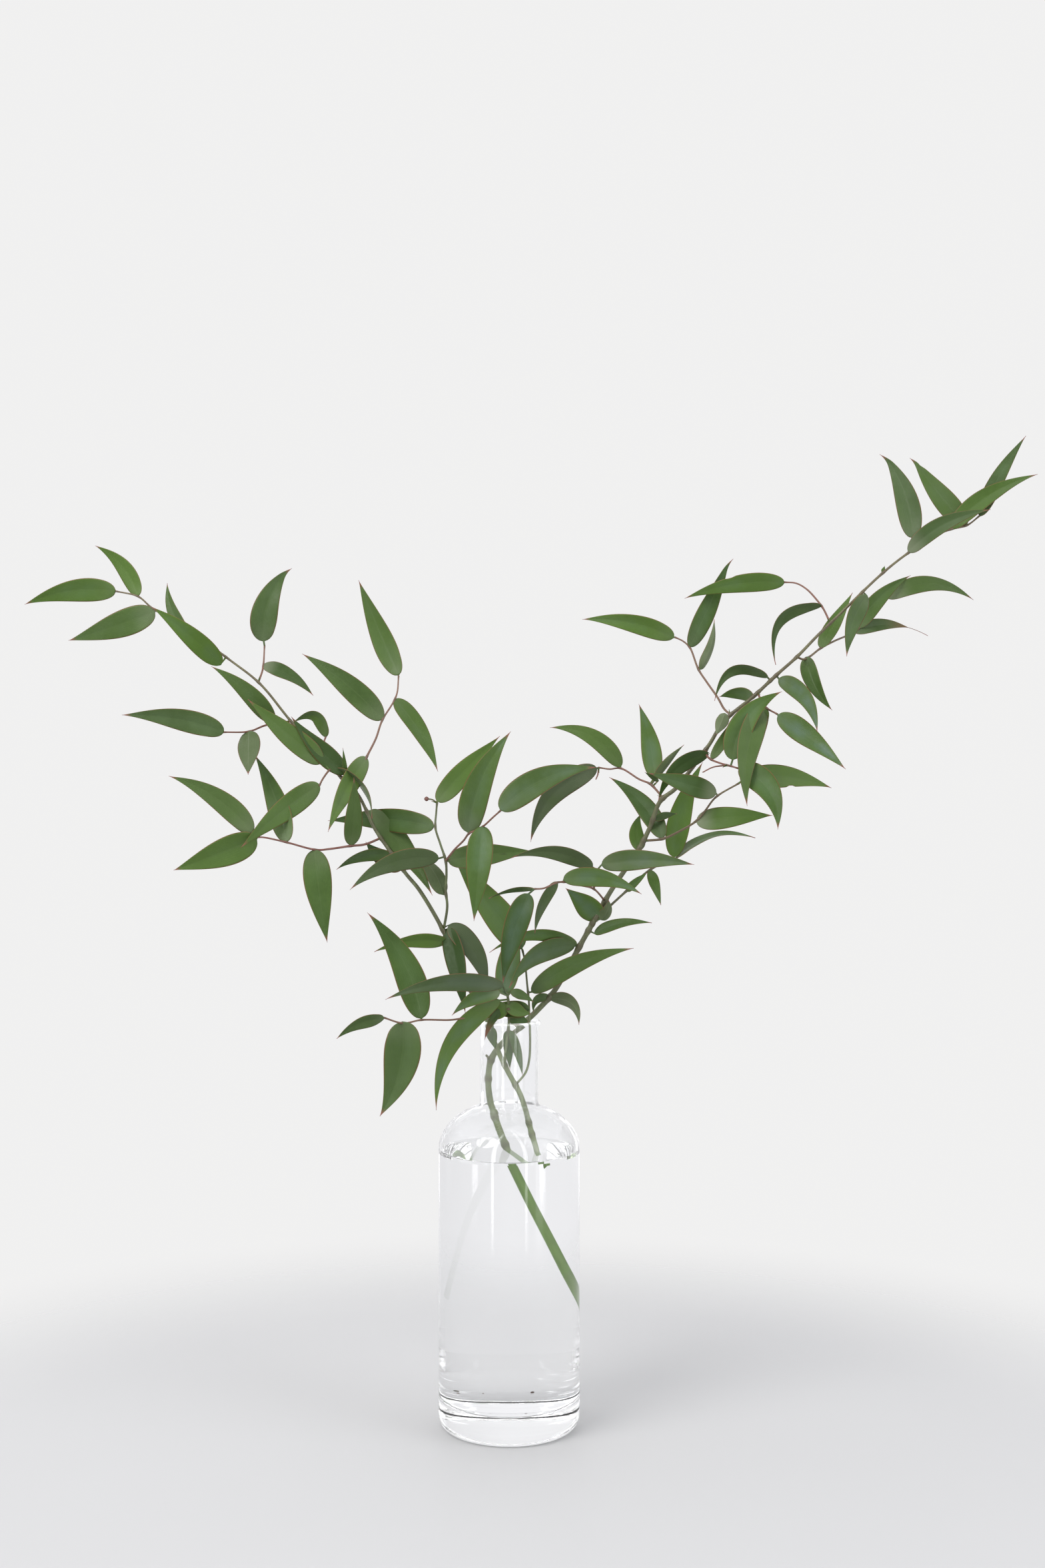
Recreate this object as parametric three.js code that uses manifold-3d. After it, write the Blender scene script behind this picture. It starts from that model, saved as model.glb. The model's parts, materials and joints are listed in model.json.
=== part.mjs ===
// Two leafy cut branches standing in a clear glass bottle of water.
// Millimetres, +Z up. The origin is the middle of the bottle's base, on the surface it stands on.
// The front is the side towards -Y.

import * as THREE from "three";
import { mergeVertices } from "three/addons/utils/BufferGeometryUtils.js";
import Module from "manifold-3d";

const wasm = await Module();
wasm.setup();

// Bottle
const BODY_RADIUS = 45;
const WALL = 2.6;
const FOOT_RADIUS = 40;
const HEEL_HEIGHT = 9;
const FLOOR_THICKNESS = 17;
const INNER_HEEL = 8;
const SHOULDER_START = 176;
const SHOULDER_RISE = 30;
const NECK_RADIUS = 18.5;
const NECK_WALL = 1.8;
const LIP_RADIUS = 20;
const LIP_HEIGHT = 4;
const BOTTLE_HEIGHT = 257.5;
const BOTTLE_SIDES = 32;
const SHOULDER_STEPS = 6;
const HEEL_STEPS = 3;

// Water
const WATER_LEVEL = 174;
const CLEARANCE = 0.3;
const STEM_HOLE = 0.4;

// The branches are laid out as they look from a viewpoint in front of the bottle. A place is
// [x, z, depth]: x and z are where it seems to lie on the upright plane through the bottle's axis,
// and depth is how far behind that plane it really is. Negative depths come towards the front.
const VIEWPOINT = new THREE.Vector3(8.5, -1150, 408);

// Leaves
const BLADE_THICKNESS = 0.7;
const PETIOLE_HALF = 0.75;
const TIP_HALF = 0.35;
const BLADE_STATIONS = [0.12, 0.38, 0.74, 1];
const LONG_PETIOLE = 4.5;
const BLADE_RISE = 0.5;
const BLADE_FALL = 1.2;
const FOLD_LEAST = 0.08;
const FOLD_SPREAD = 0.22;
const ARCH_SHARE = 0.1;
const DRAW_SEED = 4271;

// Stems
const STEM_SIDES = 7;
const TWIG_SIDES = 5;
const SLIVER = 0.02;
const THICK_TWIG = 1.1;
const THINNING = 1.2;
const BUD_RADIUS = 1.5;

// A twig: its name, the twig it grows from, its radius at both ends, the places it passes, and its
// leaves. A leaf is [base x, base z, tip x, tip z, width, bow, reach, turn]: bow is how far its middle
// bends to the left of the line from base to tip, reach how much further back the tip lies than the
// base, and turn how far the blade is turned about its own length, in degrees. Past 90 degrees the
// underside shows.
const twig = (name, parent, radii, path, leaves) => ({ name, parent, radii, path, leaves });

const LEFT_BRANCH = [
  twig("main", null, [1.7, 0.5], [
    [18.7, 166, -4], [17.6, 174, -4], [14.4, 185, -4], [11.2, 197, -4], [7.1, 210, -4], [-1, 225, -4],
    [-8, 240, -4.5], [-12.4, 252, -4], [-16, 262.5, -4], [-24, 275, -4], [-33, 289, -3],
    [-39, 308, -2], [-57, 340, 0], [-66, 351, 2], [-78, 368, 5], [-86, 380, 7],
    [-91, 391, 9], [-97, 402, 10], [-108, 413, 12], [-124, 431, 16], [-140, 449, 19],
    [-159, 472, 23], [-178, 487, 26], [-207, 508, 30], [-228, 520.5, 31],
    [-236.5, 527.5, 32], [-251, 531, 33],
  ], [
    [-236.5, 528, -264, 560, 11, -5, 10, 25],
    [-251, 531, -309, 522.5, 15.5, -4.4, 4, 10],
    [-226, 518, -281, 499.5, 18, 1, -12, -10],
    [-184, 484, -228, 521, 13.5, -2, -26, 15],
    [-205, 505, -218, 536, 8, 3.5, 16, 30],
    [-104, 415, -139, 451, 13, 2, -12, -20],
    [-104, 412, -106, 431, 3, 0, -6, 0],
    [-110.5, 417.5, -87.5, 386, 4, 7, -12, 112],
    [-89, 391, -49, 337, 15, 3, -18, 10],
    [-68, 354, -91.5, 371, 13, 2, 22, -25],
    [-76, 363, -110, 353.5, 8, -4, 12, 30],
    [-39.5, 307, -86, 301, 9, -4, -14, 25],
    [-39, 316, -28, 262, 13, 1, -22, -20],
    [-38.5, 318, -14, 276, 14, 5, -12, 25],
    [-12.5, 254, -8.5, 238.5, 7, 0, -3, 0],
  ]),
  twig("twig_a", "main", [0.7, 0.5], [[-159, 473, 23], [-157, 482, 34], [-156, 496, 42]], [
    [-156.5, 499, -140, 546, 17.5, 6, 8, 10],
    [-157, 483.5, -125, 464.5, 9, 3, -9, 40],
  ]),
  twig("twig_b", "main", [0.7, 0.5], [
    [-140, 448, 19], [-155, 445.5, 8], [-166, 441.5, -2], [-182, 441, -14],
  ], [
    [-182, 441, -247, 452, 14.5, -3, -15, -10],
    [-166, 441.5, -166.5, 414, 14, 0, -42, 165],
    [-150.5, 447, -190, 483, 12, -3.5, -12, 15],
  ]),
  twig("twig_x", "main", [0.7, 0.5], [
    [-112, 418, 13], [-115, 416.5, 6], [-119, 411, -6], [-121, 407, -14],
  ], [
    [-121, 407.5, -171, 367.5, 15, -1.5, -48, 10],
    [-119, 422, -166.5, 462, 15, 1, -10, -15],
  ]),
  twig("twig_y", "main", [0.7, 0.5], [[-122, 429, 16], [-119, 433, 20], [-117, 438, 23]], [
    [-117, 438, -138, 447, 8, -10, 6, 35],
  ]),
  twig("twig_c", "main", [0.8, 0.5], [
    [-84, 372, 6], [-92, 369.5, -2], [-101, 368.5, -8], [-115, 366.5, -18], [-123, 366, -24],
    [-142, 370.8, -36], [-157, 374, -46], [-161, 374, -48],
  ], [
    [-101, 369, -99, 412, 11.5, -1, -12, -15],
    [-124, 366, -116, 307, 17.5, -0.8, -10, 0],
    [-142, 371, -162.5, 427, 14, -3, 34, 15],
    [-164, 377, -217, 413, 14, -5, 4, -10],
    [-161, 373, -214, 353, 18, 0.5, -8, 10],
  ]),
  twig("twig_d", "main", [0.8, 0.5], [
    [-100, 408, 11], [-95, 417, 18], [-90, 427, 24], [-85, 437, 30], [-81, 448.5, 36],
    [-74, 460, 42], [-71.5, 466, 44], [-70.5, 477, 48],
  ], [
    [-81, 449, -132, 491, 16, -3, 10, -10],
    [-70.5, 477.5, -96, 538, 15, 0.5, 8, 10],
    [-73, 462, -45.5, 416, 12, 3, -12, 25],
    [-91, 425, -115.5, 377.5, 13, -2, -62, 10],
  ]),
  twig("shoot_e", "main", [0.8, 0.6], [
    [-38, 317, -2], [-39.5, 330, -6], [-40.5, 340, -8], [-40, 350, -11], [-40.5, 359, -14],
    [-44, 370, -14], [-47, 380, -12], [-46.5, 390, -10], [-46, 396, -9],
  ], [
    [-42.5, 337.5, -62, 364, 11, -4, 3, 160],
    [-45, 360.5, -101.5, 340.5, 13, -7, -26, 10],
    [-48, 381, -115.5, 384.5, 15.5, -3, 46, 10],
    [-46, 397, -6, 438.5, 14, 1, 18, -15],
    [-39, 359, 16, 365, 15, 1, 14, 10],
  ]),
  twig("bud_stalk", "shoot_e", [0.5, 0.5], [[-46, 396, -9], [-49, 398, -10], [-52, 398.5, -11]], []),
  twig("twig_f", "shoot_e", [0.65, 0.5], [
    [-40.5, 359, -14], [-35, 366, -24], [-29, 372, -36], [-25.5, 376.5, -44], [-20, 379, -50],
    [-16, 381.5, -56], [-10, 387, -64], [-5.5, 391, -70],
  ], [
    [-26, 377, 1, 441.5, 17.5, 5, -10, 10],
    [-17, 381, -22.5, 320.5, 16, 0, -14, -10],
    [-5.5, 391.3, 55.7, 418.6, 17, 6.5, 4, 10],
  ]),
  twig("shoot_g", "main", [0.7, 0.6], [
    [6.3, 217.6, -4], [10.4, 224, -5], [12.6, 232, -5], [13.2, 243.5, -4], [13, 254, -3],
    [12.5, 270, 0], [11.5, 280, 1], [10, 295, 2], [8.5, 302, 2],
  ], [
    [8, 303, -35, 360, 20, -0.5, 8, -10],
    [14.4, 275.4, 79.4, 303.2, 13, 5, -34, 10],
  ]),
  twig("mouth_shoot", "main", [0.9, 0.7], [
    [-3, 229, -4], [-2, 240, -8], [-0.5, 252, -10.5], [0, 259, -13], [0, 265, -18], [-1, 273, -27],
  ], [
    [-4, 279, -79, 270.5, 11, -6, -62, 15],
    [-6, 275, -36.5, 260.5, 10, -3, -20, -20],
    [-6, 270, -46.5, 200, 12, -12.5, -30, 15],
    [-4, 265, -15.5, 245, 5, -2, -8, 0],
    [-3, 274, 6, 322, 15, 1, 40, 0],
    [1, 275, 15.5, 269, 6, 1, 5, 20],
    [-1, 268, 14, 261.5, 9, -1.5, 4, 0],
    [-2, 267, -18.5, 261, 11, 1.5, 4, 0],
    [-1, 251, 0.5, 226, 7, 0, 1, 0],
    [0.5, 251, 8.5, 222, 6, 1, 2, 0],
    [0.5, 259, 12.5, 256.5, 9, 0, 5, 0],
    [13, 264, -18, 265.5, 11, 0.5, 6, -10],
  ]),
  twig("twig_h", "mouth_shoot", [0.65, 0.5], [
    [0, 262, -16], [-14, 260.5, -26], [-30, 258.5, -38], [-38, 257.5, -46], [-56, 257.5, -62],
    [-68, 255.5, -74], [-80, 259, -84],
  ], [
    [-56, 258.5, -90.5, 326, 18, -6, 10, 10],
    [-68, 256.5, -82.5, 196, 22, 5, -8, 0],
    [-80, 258.5, -110, 245.5, 7, -3, -12, 30],
  ]),
];

const RIGHT_BRANCH = [
  twig("main", null, [2.3, 0.5], [
    [35.5, 66, 14.5], [26.7, 93, 11.7], [18.7, 118, 9], [10.3, 142, 6.5], [2.2, 165, 4.5], [-1, 174, 4],
    [-5, 184, 4], [-9, 195, 4], [-12, 205, 4], [-13.5, 218, 4], [-12, 231, 5], [-7.5, 239, 5],
    [-0.5, 246.5, 5], [8.8, 255, 4.5], [18, 263.7, 5], [28.4, 275.5, 6], [44.9, 304.5, 8],
    [53, 319, 7], [65, 340, 6], [83, 367, 4], [89.6, 380, 3], [96.4, 397, 0], [106, 405, -2],
    [115, 416, -4], [127.5, 433, -6], [137, 448, -8], [156, 464, -11], [171, 478, -12],
    [183.4, 489, -12], [197, 503, -12], [210.5, 516, -12], [237.6, 542, -11],
    [254, 555, -10], [273, 567, -9], [282, 570.5, -9], [292, 573, -8], [300, 579, -8],
  ], [
    [42, 305, 0, 278, 13, -8, -41, 15],
    [43, 305.5, -12.5, 300.5, 8, -9, -45, 30],
    [26, 271, 44.5, 254.4, 8, 7, -12, 150],
    [25.5, 272, 15.5, 262, 5.5, -4.5, -12, 10],
    [54.4, 312.7, 91, 319.4, 7, 3, -10, 35],
    [58, 321.5, 36, 341.5, 15, -1, -16, 20],
    [58.5, 321.5, 63.5, 334, 7.5, -1.5, -8, 150],
    [84, 366, 84, 389, 10, 3, 14, -20],
    [93, 385, 107, 389, 5, 1, 12, 20],
    [155.8, 464, 134, 463.5, 8, -2, 20, 30],
    [137.5, 453, 132, 439, 8, 0, -10, 165],
    [164.8, 476, 131, 461, 6.5, -13, -10, 40],
    [172, 475, 196.5, 441, 11, 6, -40, 10],
    [228, 528.5, 215.3, 489.5, 11, -3, -20, 20],
    [238, 543, 239.5, 547, 2.4, 0, 1, 0],
    [257.5, 565, 238.5, 619, 15, -4.5, 24, 10],
    [291.5, 573, 256.8, 617, 14, 1.5, 16, -10],
    [300.5, 579, 329.5, 630, 10, 2, 8, 20],
    [282, 571, 337, 605.5, 12, 5, -12, 15],
    [254.6, 556, 307, 583, 11, 5, -25, 20],
  ]),
  twig("nub", "main", [1, 0.8], [[-12.5, 232, 5], [-14.9, 235, 4]], []),
  twig("twig_j", "main", [0.8, 0.55], [
    [91.6, 369, 3], [97.7, 373, 0], [107, 377, -6], [119.4, 384.5, -14], [125, 391, -18],
    [131.6, 399.4, -22], [146.5, 408.5, -30],
  ], [
    [97.7, 373.6, 63.8, 412.3, 13, -4.5, 22, -10],
    [119.4, 384, 168, 388, 14, 1, -12, 10],
    [132, 402, 89, 415, 13, 0, -14, -15],
    [150, 411, 205.5, 405.5, 15, 4, 16, 10],
  ]),
  twig("twig_p", "main", [0.8, 0.55], [
    [54, 319, 7], [62, 328, 8], [75, 340, 10], [88, 352, 14], [98, 357.5, 17], [107, 361, 20],
  ], [
    [90, 353, 96.8, 330.7, 7, 0, -10, 20],
    [75, 340, 88, 351.5, 5, 0, -8, 30],
    [105, 361.5, 123.5, 422, 15, 4, 12, -10],
    [107, 361, 157, 373.6, 5, 8, 14, 65],
  ]),
  twig("twig_q", "main", [0.65, 0.5], [
    [60, 334, 6], [54, 341, -8], [45, 343.5, -22], [35, 345.5, -40], [30, 345, -46], [22, 341.5, -54],
    [16, 341, -60],
  ], [
    [30.6, 345.5, 16.4, 312.7, 6.5, -3, -2, 30],
    [34.7, 347, 84.5, 337.7, 12, 5, -6, 10],
    [12.5, 338, -4, 281, 15, -2, 5, -10],
    [16, 341, -13, 335, 3, -2, 12, 40],
  ]),
  twig("twig_r", "twig_q", [0.6, 0.5], [[54, 341, -8], [55, 347, -16], [56, 353, -24]], [
    [53, 355, 1.5, 361, 10, -6.5, -18, 20],
    [59, 356.5, 118, 356.5, 13, 3, -20, 10],
  ]),
  twig("twig_s", "main", [0.75, 0.5], [
    [98, 399, 0], [94, 404, 6], [90, 408, 10], [83, 411, 16], [71, 418, 26], [64, 417.5, 30],
    [57, 418.5, 34],
  ], [
    [56, 418, 13.7, 371, 15, -10, 6, 10],
    [71, 419, 26, 444, 12, -8, 8, -10],
    [92.5, 412, 82.7, 459, 13, -2, 8, 10],
    [93, 411, 111.5, 433, 5, 1, -8, 150],
    [95, 410, 86.5, 415.5, 3, 0, -10, 0],
  ]),
  twig("curl_s", "twig_s", [0.5, 0.4], [[57, 418.5, 34], [56.5, 414, 34], [55.3, 411, 33]], []),
  twig("twig_t", "main", [0.7, 0.5], [
    [125, 430, -6], [126.5, 425.5, -12], [129, 423.5, -15], [137, 420.5, -26], [141, 419.5, -31],
    [146, 418, -38],
  ], [
    [127, 427, 95, 397, 10, -7, -12, 15],
    [129, 424, 154, 463.5, 7, -1, 9, 25],
    [142.5, 423.5, 174, 467, 16, 8, 4, 10],
    [146.5, 418.5, 171.3, 379, 16, 8, -22, 10],
  ]),
  twig("curl_t", "twig_t", [0.5, 0.4], [[139, 420, -28], [130, 418.7, -32], [123.5, 415.5, -34]], []),
  twig("twig_u", "main", [0.7, 0.5], [[159, 466, -11], [163, 457.5, -20], [171, 452.5, -30]], [
    [162, 459, 151.8, 394, 15, -5, -34, 10],
    [164, 456, 156, 421, 8, -1, 8, -20],
    [171.5, 452, 214.5, 417.5, 14, 1, -26, 10],
  ]),
  twig("twig_k", "main", [0.75, 0.5], [
    [141, 452, -8], [137, 456, 0], [133, 463, 8], [126, 473, 20], [120.6, 481.3, 28], [115.2, 495, 38],
    [111, 499, 42], [105.7, 501.6, 46],
  ], [
    [105, 501.5, 46.7, 513, 13, -4, 10, 10],
    [115.2, 495.5, 141, 552.5, 12.5, -0.5, 6, -10],
    [121.3, 481.3, 130.7, 513, 6, -3, 14, 145],
  ]),
  twig("twig_m", "main", [0.65, 0.5], [
    [204, 511, -12], [200.5, 519.5, -4], [196.5, 525, 4], [190, 532, 12], [183, 536, 20], [175.5, 536.7, 26],
  ], [
    [175.5, 536.5, 111.8, 526.3, 12.5, -4, 14, 10],
    [199, 521.5, 170, 484, 7, -15, -26, 40],
  ]),
  twig("twig_n", "main", [0.7, 0.5], [
    [184, 489, -12], [188, 487.5, -6], [192, 489.5, -2], [198.5, 494.5, 4], [207, 499, 10],
    [221, 505.7, 18], [231, 516, 22], [241, 526, 26],
  ], [
    [189.5, 489, 206, 455, 10.5, -3, -16, -10],
    [198.5, 495, 219, 530, 9.5, 0, 12, 20],
    [219.5, 505, 267, 502.5, 9, 6, 10, 20],
    [241.5, 526.5, 296, 525.4, 11, 10, 5, 15],
    [222, 507.5, 256, 541, 11, 4, 8, -20],
  ]),
];
const BUD_PLACE = [-52.7, 398.5, -11];

// Turns a place as it looks from the viewpoint into a real point
function seen(place) {
  const [x, z, depth] = place;
  const nearer = (depth - VIEWPOINT.y) / -VIEWPOINT.y;
  return new THREE.Vector3(x, 0, z).sub(VIEWPOINT).multiplyScalar(nearer).add(VIEWPOINT);
}

// Seeded draws from 0 to 1, so that every build is alike
function drawing(seed) {
  const MULTIPLIER = 48271;
  const MODULUS = 2147483647;
  let state = seed;
  return () => {
    state = (state * MULTIPLIER) % MODULUS;
    return state / MODULUS;
  };
}

// A closed solid whose skin joins rings of points in order, with flat ends. In a blade the second half
// of every ring is its lower face, and that is split into triangles like the upper face above it.
function loft(rings, isBlade = false) {
  const sides = rings[0].length;
  const points = rings.flat().flatMap((point) => [point.x, point.y, point.z]);
  const faces = [];
  for (let ring = 0; ring + 1 < rings.length; ring++) {
    for (let side = 0; side < sides; side++) {
      const next = (side + 1) % sides;
      const a = ring * sides + side;
      const b = ring * sides + next;
      const c = a + sides;
      const d = b + sides;
      if (isBlade && side >= sides / 2) {
        faces.push(a, b, c, b, d, c);
      } else {
        faces.push(a, b, d, a, d, c);
      }
    }
  }
  const last = (rings.length - 1) * sides;
  for (let side = 1; side + 1 < sides; side++) {
    faces.push(0, side + 1, side, last, last + side, last + side + 1);
  }
  const geometry = new THREE.BufferGeometry();
  geometry.setAttribute("position", new THREE.Float32BufferAttribute(points, 3));
  geometry.setIndex(faces);
  return geometry;
}

function solidOf(geometry) {
  const bare = geometry.clone();
  bare.deleteAttribute("normal");
  bare.deleteAttribute("uv");
  const merged = mergeVertices(bare);
  const solid = new wasm.Manifold(
    new wasm.Mesh({
      numProp: 3,
      vertProperties: new Float32Array(merged.attributes.position.array),
      triVerts: new Uint32Array(merged.index.array),
    }),
  );
  return solid;
}

function geometryOf(solid) {
  const mesh = solid.getMesh();
  const geometry = new THREE.BufferGeometry();
  geometry.setAttribute("position", new THREE.BufferAttribute(mesh.vertProperties, 3));
  geometry.setIndex(new THREE.BufferAttribute(mesh.triVerts, 1));
  geometry.computeVertexNormals();
  return geometry;
}

// Round sections along a line of real points. A stem keeps most of its thickness and thins towards its end.
function stemRings(points, radii, sides) {
  let across = new THREE.Vector3(1, 0, 0);
  return points.map((point, index) => {
    const before = points[Math.max(index - 1, 0)];
    const after = points[Math.min(index + 1, points.length - 1)];
    const along = after.clone().sub(before).normalize();
    across = across.addScaledVector(along, -across.dot(along)).normalize();
    const up = along.clone().cross(across);
    const share = index / (points.length - 1);
    const radius = THREE.MathUtils.lerp(radii[0], radii[1], share ** THINNING);
    return Array.from({ length: sides }, (_, side) => {
      const angle = (2 * Math.PI * side) / sides;
      return point
        .clone()
        .addScaledVector(across, radius * Math.cos(angle))
        .addScaledVector(up, radius * Math.sin(angle));
    });
  });
}

// The part of its full width that a blade has at a share of its length
function bladeShape(share) {
  const widest = BLADE_RISE / (BLADE_RISE + BLADE_FALL);
  const most = widest ** BLADE_RISE * (1 - widest) ** BLADE_FALL;
  return (share ** BLADE_RISE * (1 - share) ** BLADE_FALL) / most;
}

// Six-sided sections of one leaf, from inside its twig to its tip
function leafRings(leaf, rootPlace, draw) {
  const [baseX, baseZ, tipX, tipZ, width, bow, reach, turn] = leaf;
  const fold = FOLD_LEAST + FOLD_SPREAD * draw();
  const archDraw = 2 * draw() - 1;
  const root = seen(rootPlace);
  const base = seen([baseX, baseZ, rootPlace[2]]);
  const tip = seen([tipX, tipZ, rootPlace[2] + reach]);
  const toViewer = VIEWPOINT.clone().sub(base).normalize();
  const left = new THREE.Vector3(baseZ - tipZ, 0, tipX - baseX).normalize();
  const arch = ARCH_SHARE * base.distanceTo(tip) * archDraw;
  const middle = base.clone().add(tip).multiplyScalar(0.5);
  middle.addScaledVector(left, 2 * bow).addScaledVector(toViewer, 2 * arch);
  const line = new THREE.QuadraticBezierCurve3(base, middle, tip);
  const angle = THREE.MathUtils.degToRad(turn);
  const fullHalf = width / 2 / Math.max(Math.abs(Math.cos(angle)), 0.3) / Math.cos(fold);

  const section = (point, along, half, rise) => {
    const flat = along.clone().cross(toViewer).normalize();
    const facing = flat.clone().cross(along).normalize();
    const side = flat.clone().multiplyScalar(Math.cos(angle)).addScaledVector(facing, Math.sin(angle));
    const normal = facing.multiplyScalar(Math.cos(angle)).addScaledVector(flat, -Math.sin(angle));
    const corner = (across, face) =>
      point
        .clone()
        .addScaledVector(side, across * half * Math.cos(rise))
        .addScaledVector(normal, Math.abs(across) * half * Math.sin(rise) + (face * BLADE_THICKNESS) / 2);
    return [corner(-1, 1), corner(0, 1), corner(1, 1), corner(1, -1), corner(0, -1), corner(-1, -1)];
  };
  const out = base.distanceTo(root) > LONG_PETIOLE ? base.clone().sub(root) : line.getTangent(0);
  const rings = [section(root, out.clone().normalize(), PETIOLE_HALF, 0)];
  if (base.distanceTo(root) > LONG_PETIOLE) {
    rings.push(section(base, line.getTangent(0), PETIOLE_HALF, 0));
  }
  for (const share of BLADE_STATIONS) {
    const half = Math.max(fullHalf * bladeShape(share), TIP_HALF);
    rings.push(section(line.getPoint(share), line.getTangent(share), half, fold));
  }
  return rings;
}

// The place on a twig's line that looks nearest to x, z
function nearestPlace(line, x, z) {
  const apart = (place) => Math.hypot(place[0] - x, place[1] - z);
  return line.reduce((best, place) => (apart(place) < apart(best) ? place : best));
}

// Fused stems and leaves of one branch, and the line of its main stem in real points
function branch(twigs, draw, extras) {
  const FINE_STEPS = 12;
  const lines = {};
  const solids = [...extras];
  let mainPoints = [];
  for (const { name, parent, radii, path, leaves } of twigs) {
    const start = parent ? nearestPlace(lines[parent], path[0][0], path[0][1]) : path[0];
    const places = [start, ...path.slice(1)].map((place) => new THREE.Vector3(...place));
    const curve = new THREE.CatmullRomCurve3(places);
    const spans = places.length - 1;
    const fine = curve.getPoints(spans * FINE_STEPS);
    lines[name] = fine.map((place) => place.toArray());
    const coarse = places.map((place) => seen(place.toArray()));
    const sides = radii[0] > THICK_TWIG ? STEM_SIDES : TWIG_SIDES;
    solids.push(solidOf(loft(stemRings(coarse, radii, sides))));
    if (!parent) {
      mainPoints = coarse;
    }
    for (const leaf of leaves) {
      const root = nearestPlace(lines[name], leaf[0], leaf[1]);
      solids.push(solidOf(loft(leafRings(leaf, root, draw), true)));
    }
  }
  const whole = solids.reduce((sum, solid) => sum.add(solid)).simplify(SLIVER);
  return { whole, mainPoints };
}

// A quarter of an ellipse as profile points, from its level end to its upright end or back
function quarter(centreRadius, centreHeight, reach, rise, from, to, steps) {
  return Array.from({ length: steps + 1 }, (_, step) => {
    const angle = THREE.MathUtils.degToRad(THREE.MathUtils.lerp(from, to, step / steps));
    return new THREE.Vector2(centreRadius + reach * Math.cos(angle), centreHeight + rise * Math.sin(angle));
  });
}

function lathe(profile) {
  const turned = new THREE.LatheGeometry(profile, BOTTLE_SIDES);
  return turned.rotateX(Math.PI / 2);
}

// Where a shoulder ellipse of this reach meets a neck of this radius, in degrees
function neckAngle(reach, neckRadius) {
  return THREE.MathUtils.radToDeg(Math.acos(neckRadius / reach));
}

function bottleGeometry() {
  const innerRadius = BODY_RADIUS - WALL;
  const boreRadius = NECK_RADIUS - NECK_WALL;
  const lipStart = BOTTLE_HEIGHT - LIP_HEIGHT;
  const lipMiddle = (LIP_RADIUS + boreRadius) / 2;
  const lipHalf = (LIP_RADIUS - boreRadius) / 2;
  const innerRise = SHOULDER_RISE - NECK_WALL;
  const outerMeet = neckAngle(BODY_RADIUS, NECK_RADIUS);
  const innerMeet = neckAngle(innerRadius, boreRadius);
  const profile = [
    new THREE.Vector2(0, 0),
    ...quarter(FOOT_RADIUS, HEEL_HEIGHT, BODY_RADIUS - FOOT_RADIUS, HEEL_HEIGHT, -90, 0, HEEL_STEPS),
    ...quarter(0, SHOULDER_START, BODY_RADIUS, SHOULDER_RISE, 0, outerMeet, SHOULDER_STEPS),
    new THREE.Vector2(NECK_RADIUS, lipStart),
    ...quarter(lipMiddle, BOTTLE_HEIGHT - lipHalf, lipHalf, lipHalf, 0, 180, 4),
    ...quarter(0, SHOULDER_START, innerRadius, innerRise, innerMeet, 0, SHOULDER_STEPS),
    ...quarter(
      innerRadius - INNER_HEEL, FLOOR_THICKNESS + INNER_HEEL, INNER_HEEL, INNER_HEEL, 0, -90, HEEL_STEPS,
    ),
    new THREE.Vector2(0, FLOOR_THICKNESS),
  ];
  return lathe(profile);
}

// Water that fills the bottle to its level, with a round hole along each stem that stands in it
function waterGeometry(stems) {
  const radius = BODY_RADIUS - WALL - CLEARANCE;
  const floor = FLOOR_THICKNESS + CLEARANCE;
  const heel = INNER_HEEL;
  const filled = solidOf(
    lathe([
      new THREE.Vector2(0, floor),
      ...quarter(radius - heel, floor + heel, heel, heel, -90, 0, HEEL_STEPS),
      new THREE.Vector2(radius, WATER_LEVEL),
      new THREE.Vector2(0, WATER_LEVEL),
    ]),
  );
  const cut = stems.reduce((rest, { points, radius: stemRadius }) => {
    const wet = points.filter((_, index) => points[Math.max(index - 2, 0)].z < WATER_LEVEL);
    const along = wet[0].clone().sub(wet[1]).normalize();
    const under = wet[0].clone().addScaledVector(along, STEM_HOLE);
    const holeRadius = stemRadius + STEM_HOLE;
    const hole = loft(stemRings([under, ...wet], [holeRadius, holeRadius], STEM_SIDES));
    return rest.subtract(solidOf(hole));
  }, filled);
  return geometryOf(cut);
}

function named(name, geometry, colour, roughness, metalness) {
  const material = new THREE.MeshStandardMaterial({ color: colour, roughness, metalness });
  const mesh = new THREE.Mesh(geometry, material);
  mesh.name = name;
  return mesh;
}

const draw = drawing(DRAW_SEED);
const bud = new THREE.IcosahedronGeometry(BUD_RADIUS, 1);
bud.translate(...seen(BUD_PLACE).toArray());
const left = branch(LEFT_BRANCH, draw, [solidOf(bud)]);
const right = branch(RIGHT_BRANCH, draw, []);
const stems = [
  { points: left.mainPoints, radius: LEFT_BRANCH[0].radii[0] },
  { points: right.mainPoints, radius: RIGHT_BRANCH[0].radii[0] },
];

const arrangement = new THREE.Group();
arrangement.add(
  named("bottle", bottleGeometry(), 0xe8eeee, 0.05, 0),
  named("water", waterGeometry(stems), 0xdfe9ea, 0.02, 0),
  named("left_branch", geometryOf(left.whole), 0x5d8040, 0.45, 0),
  named("right_branch", geometryOf(right.whole), 0x5d8040, 0.45, 0),
);

export default arrangement;
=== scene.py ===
"""Two leafy cut branches in a clear glass bottle of water, on a plain pale floor.

Lengths are written in millimetres, with +Z up and the front towards -Y, and become metres when a mesh
is made.
"""

import json
import math
from collections import namedtuple

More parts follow.
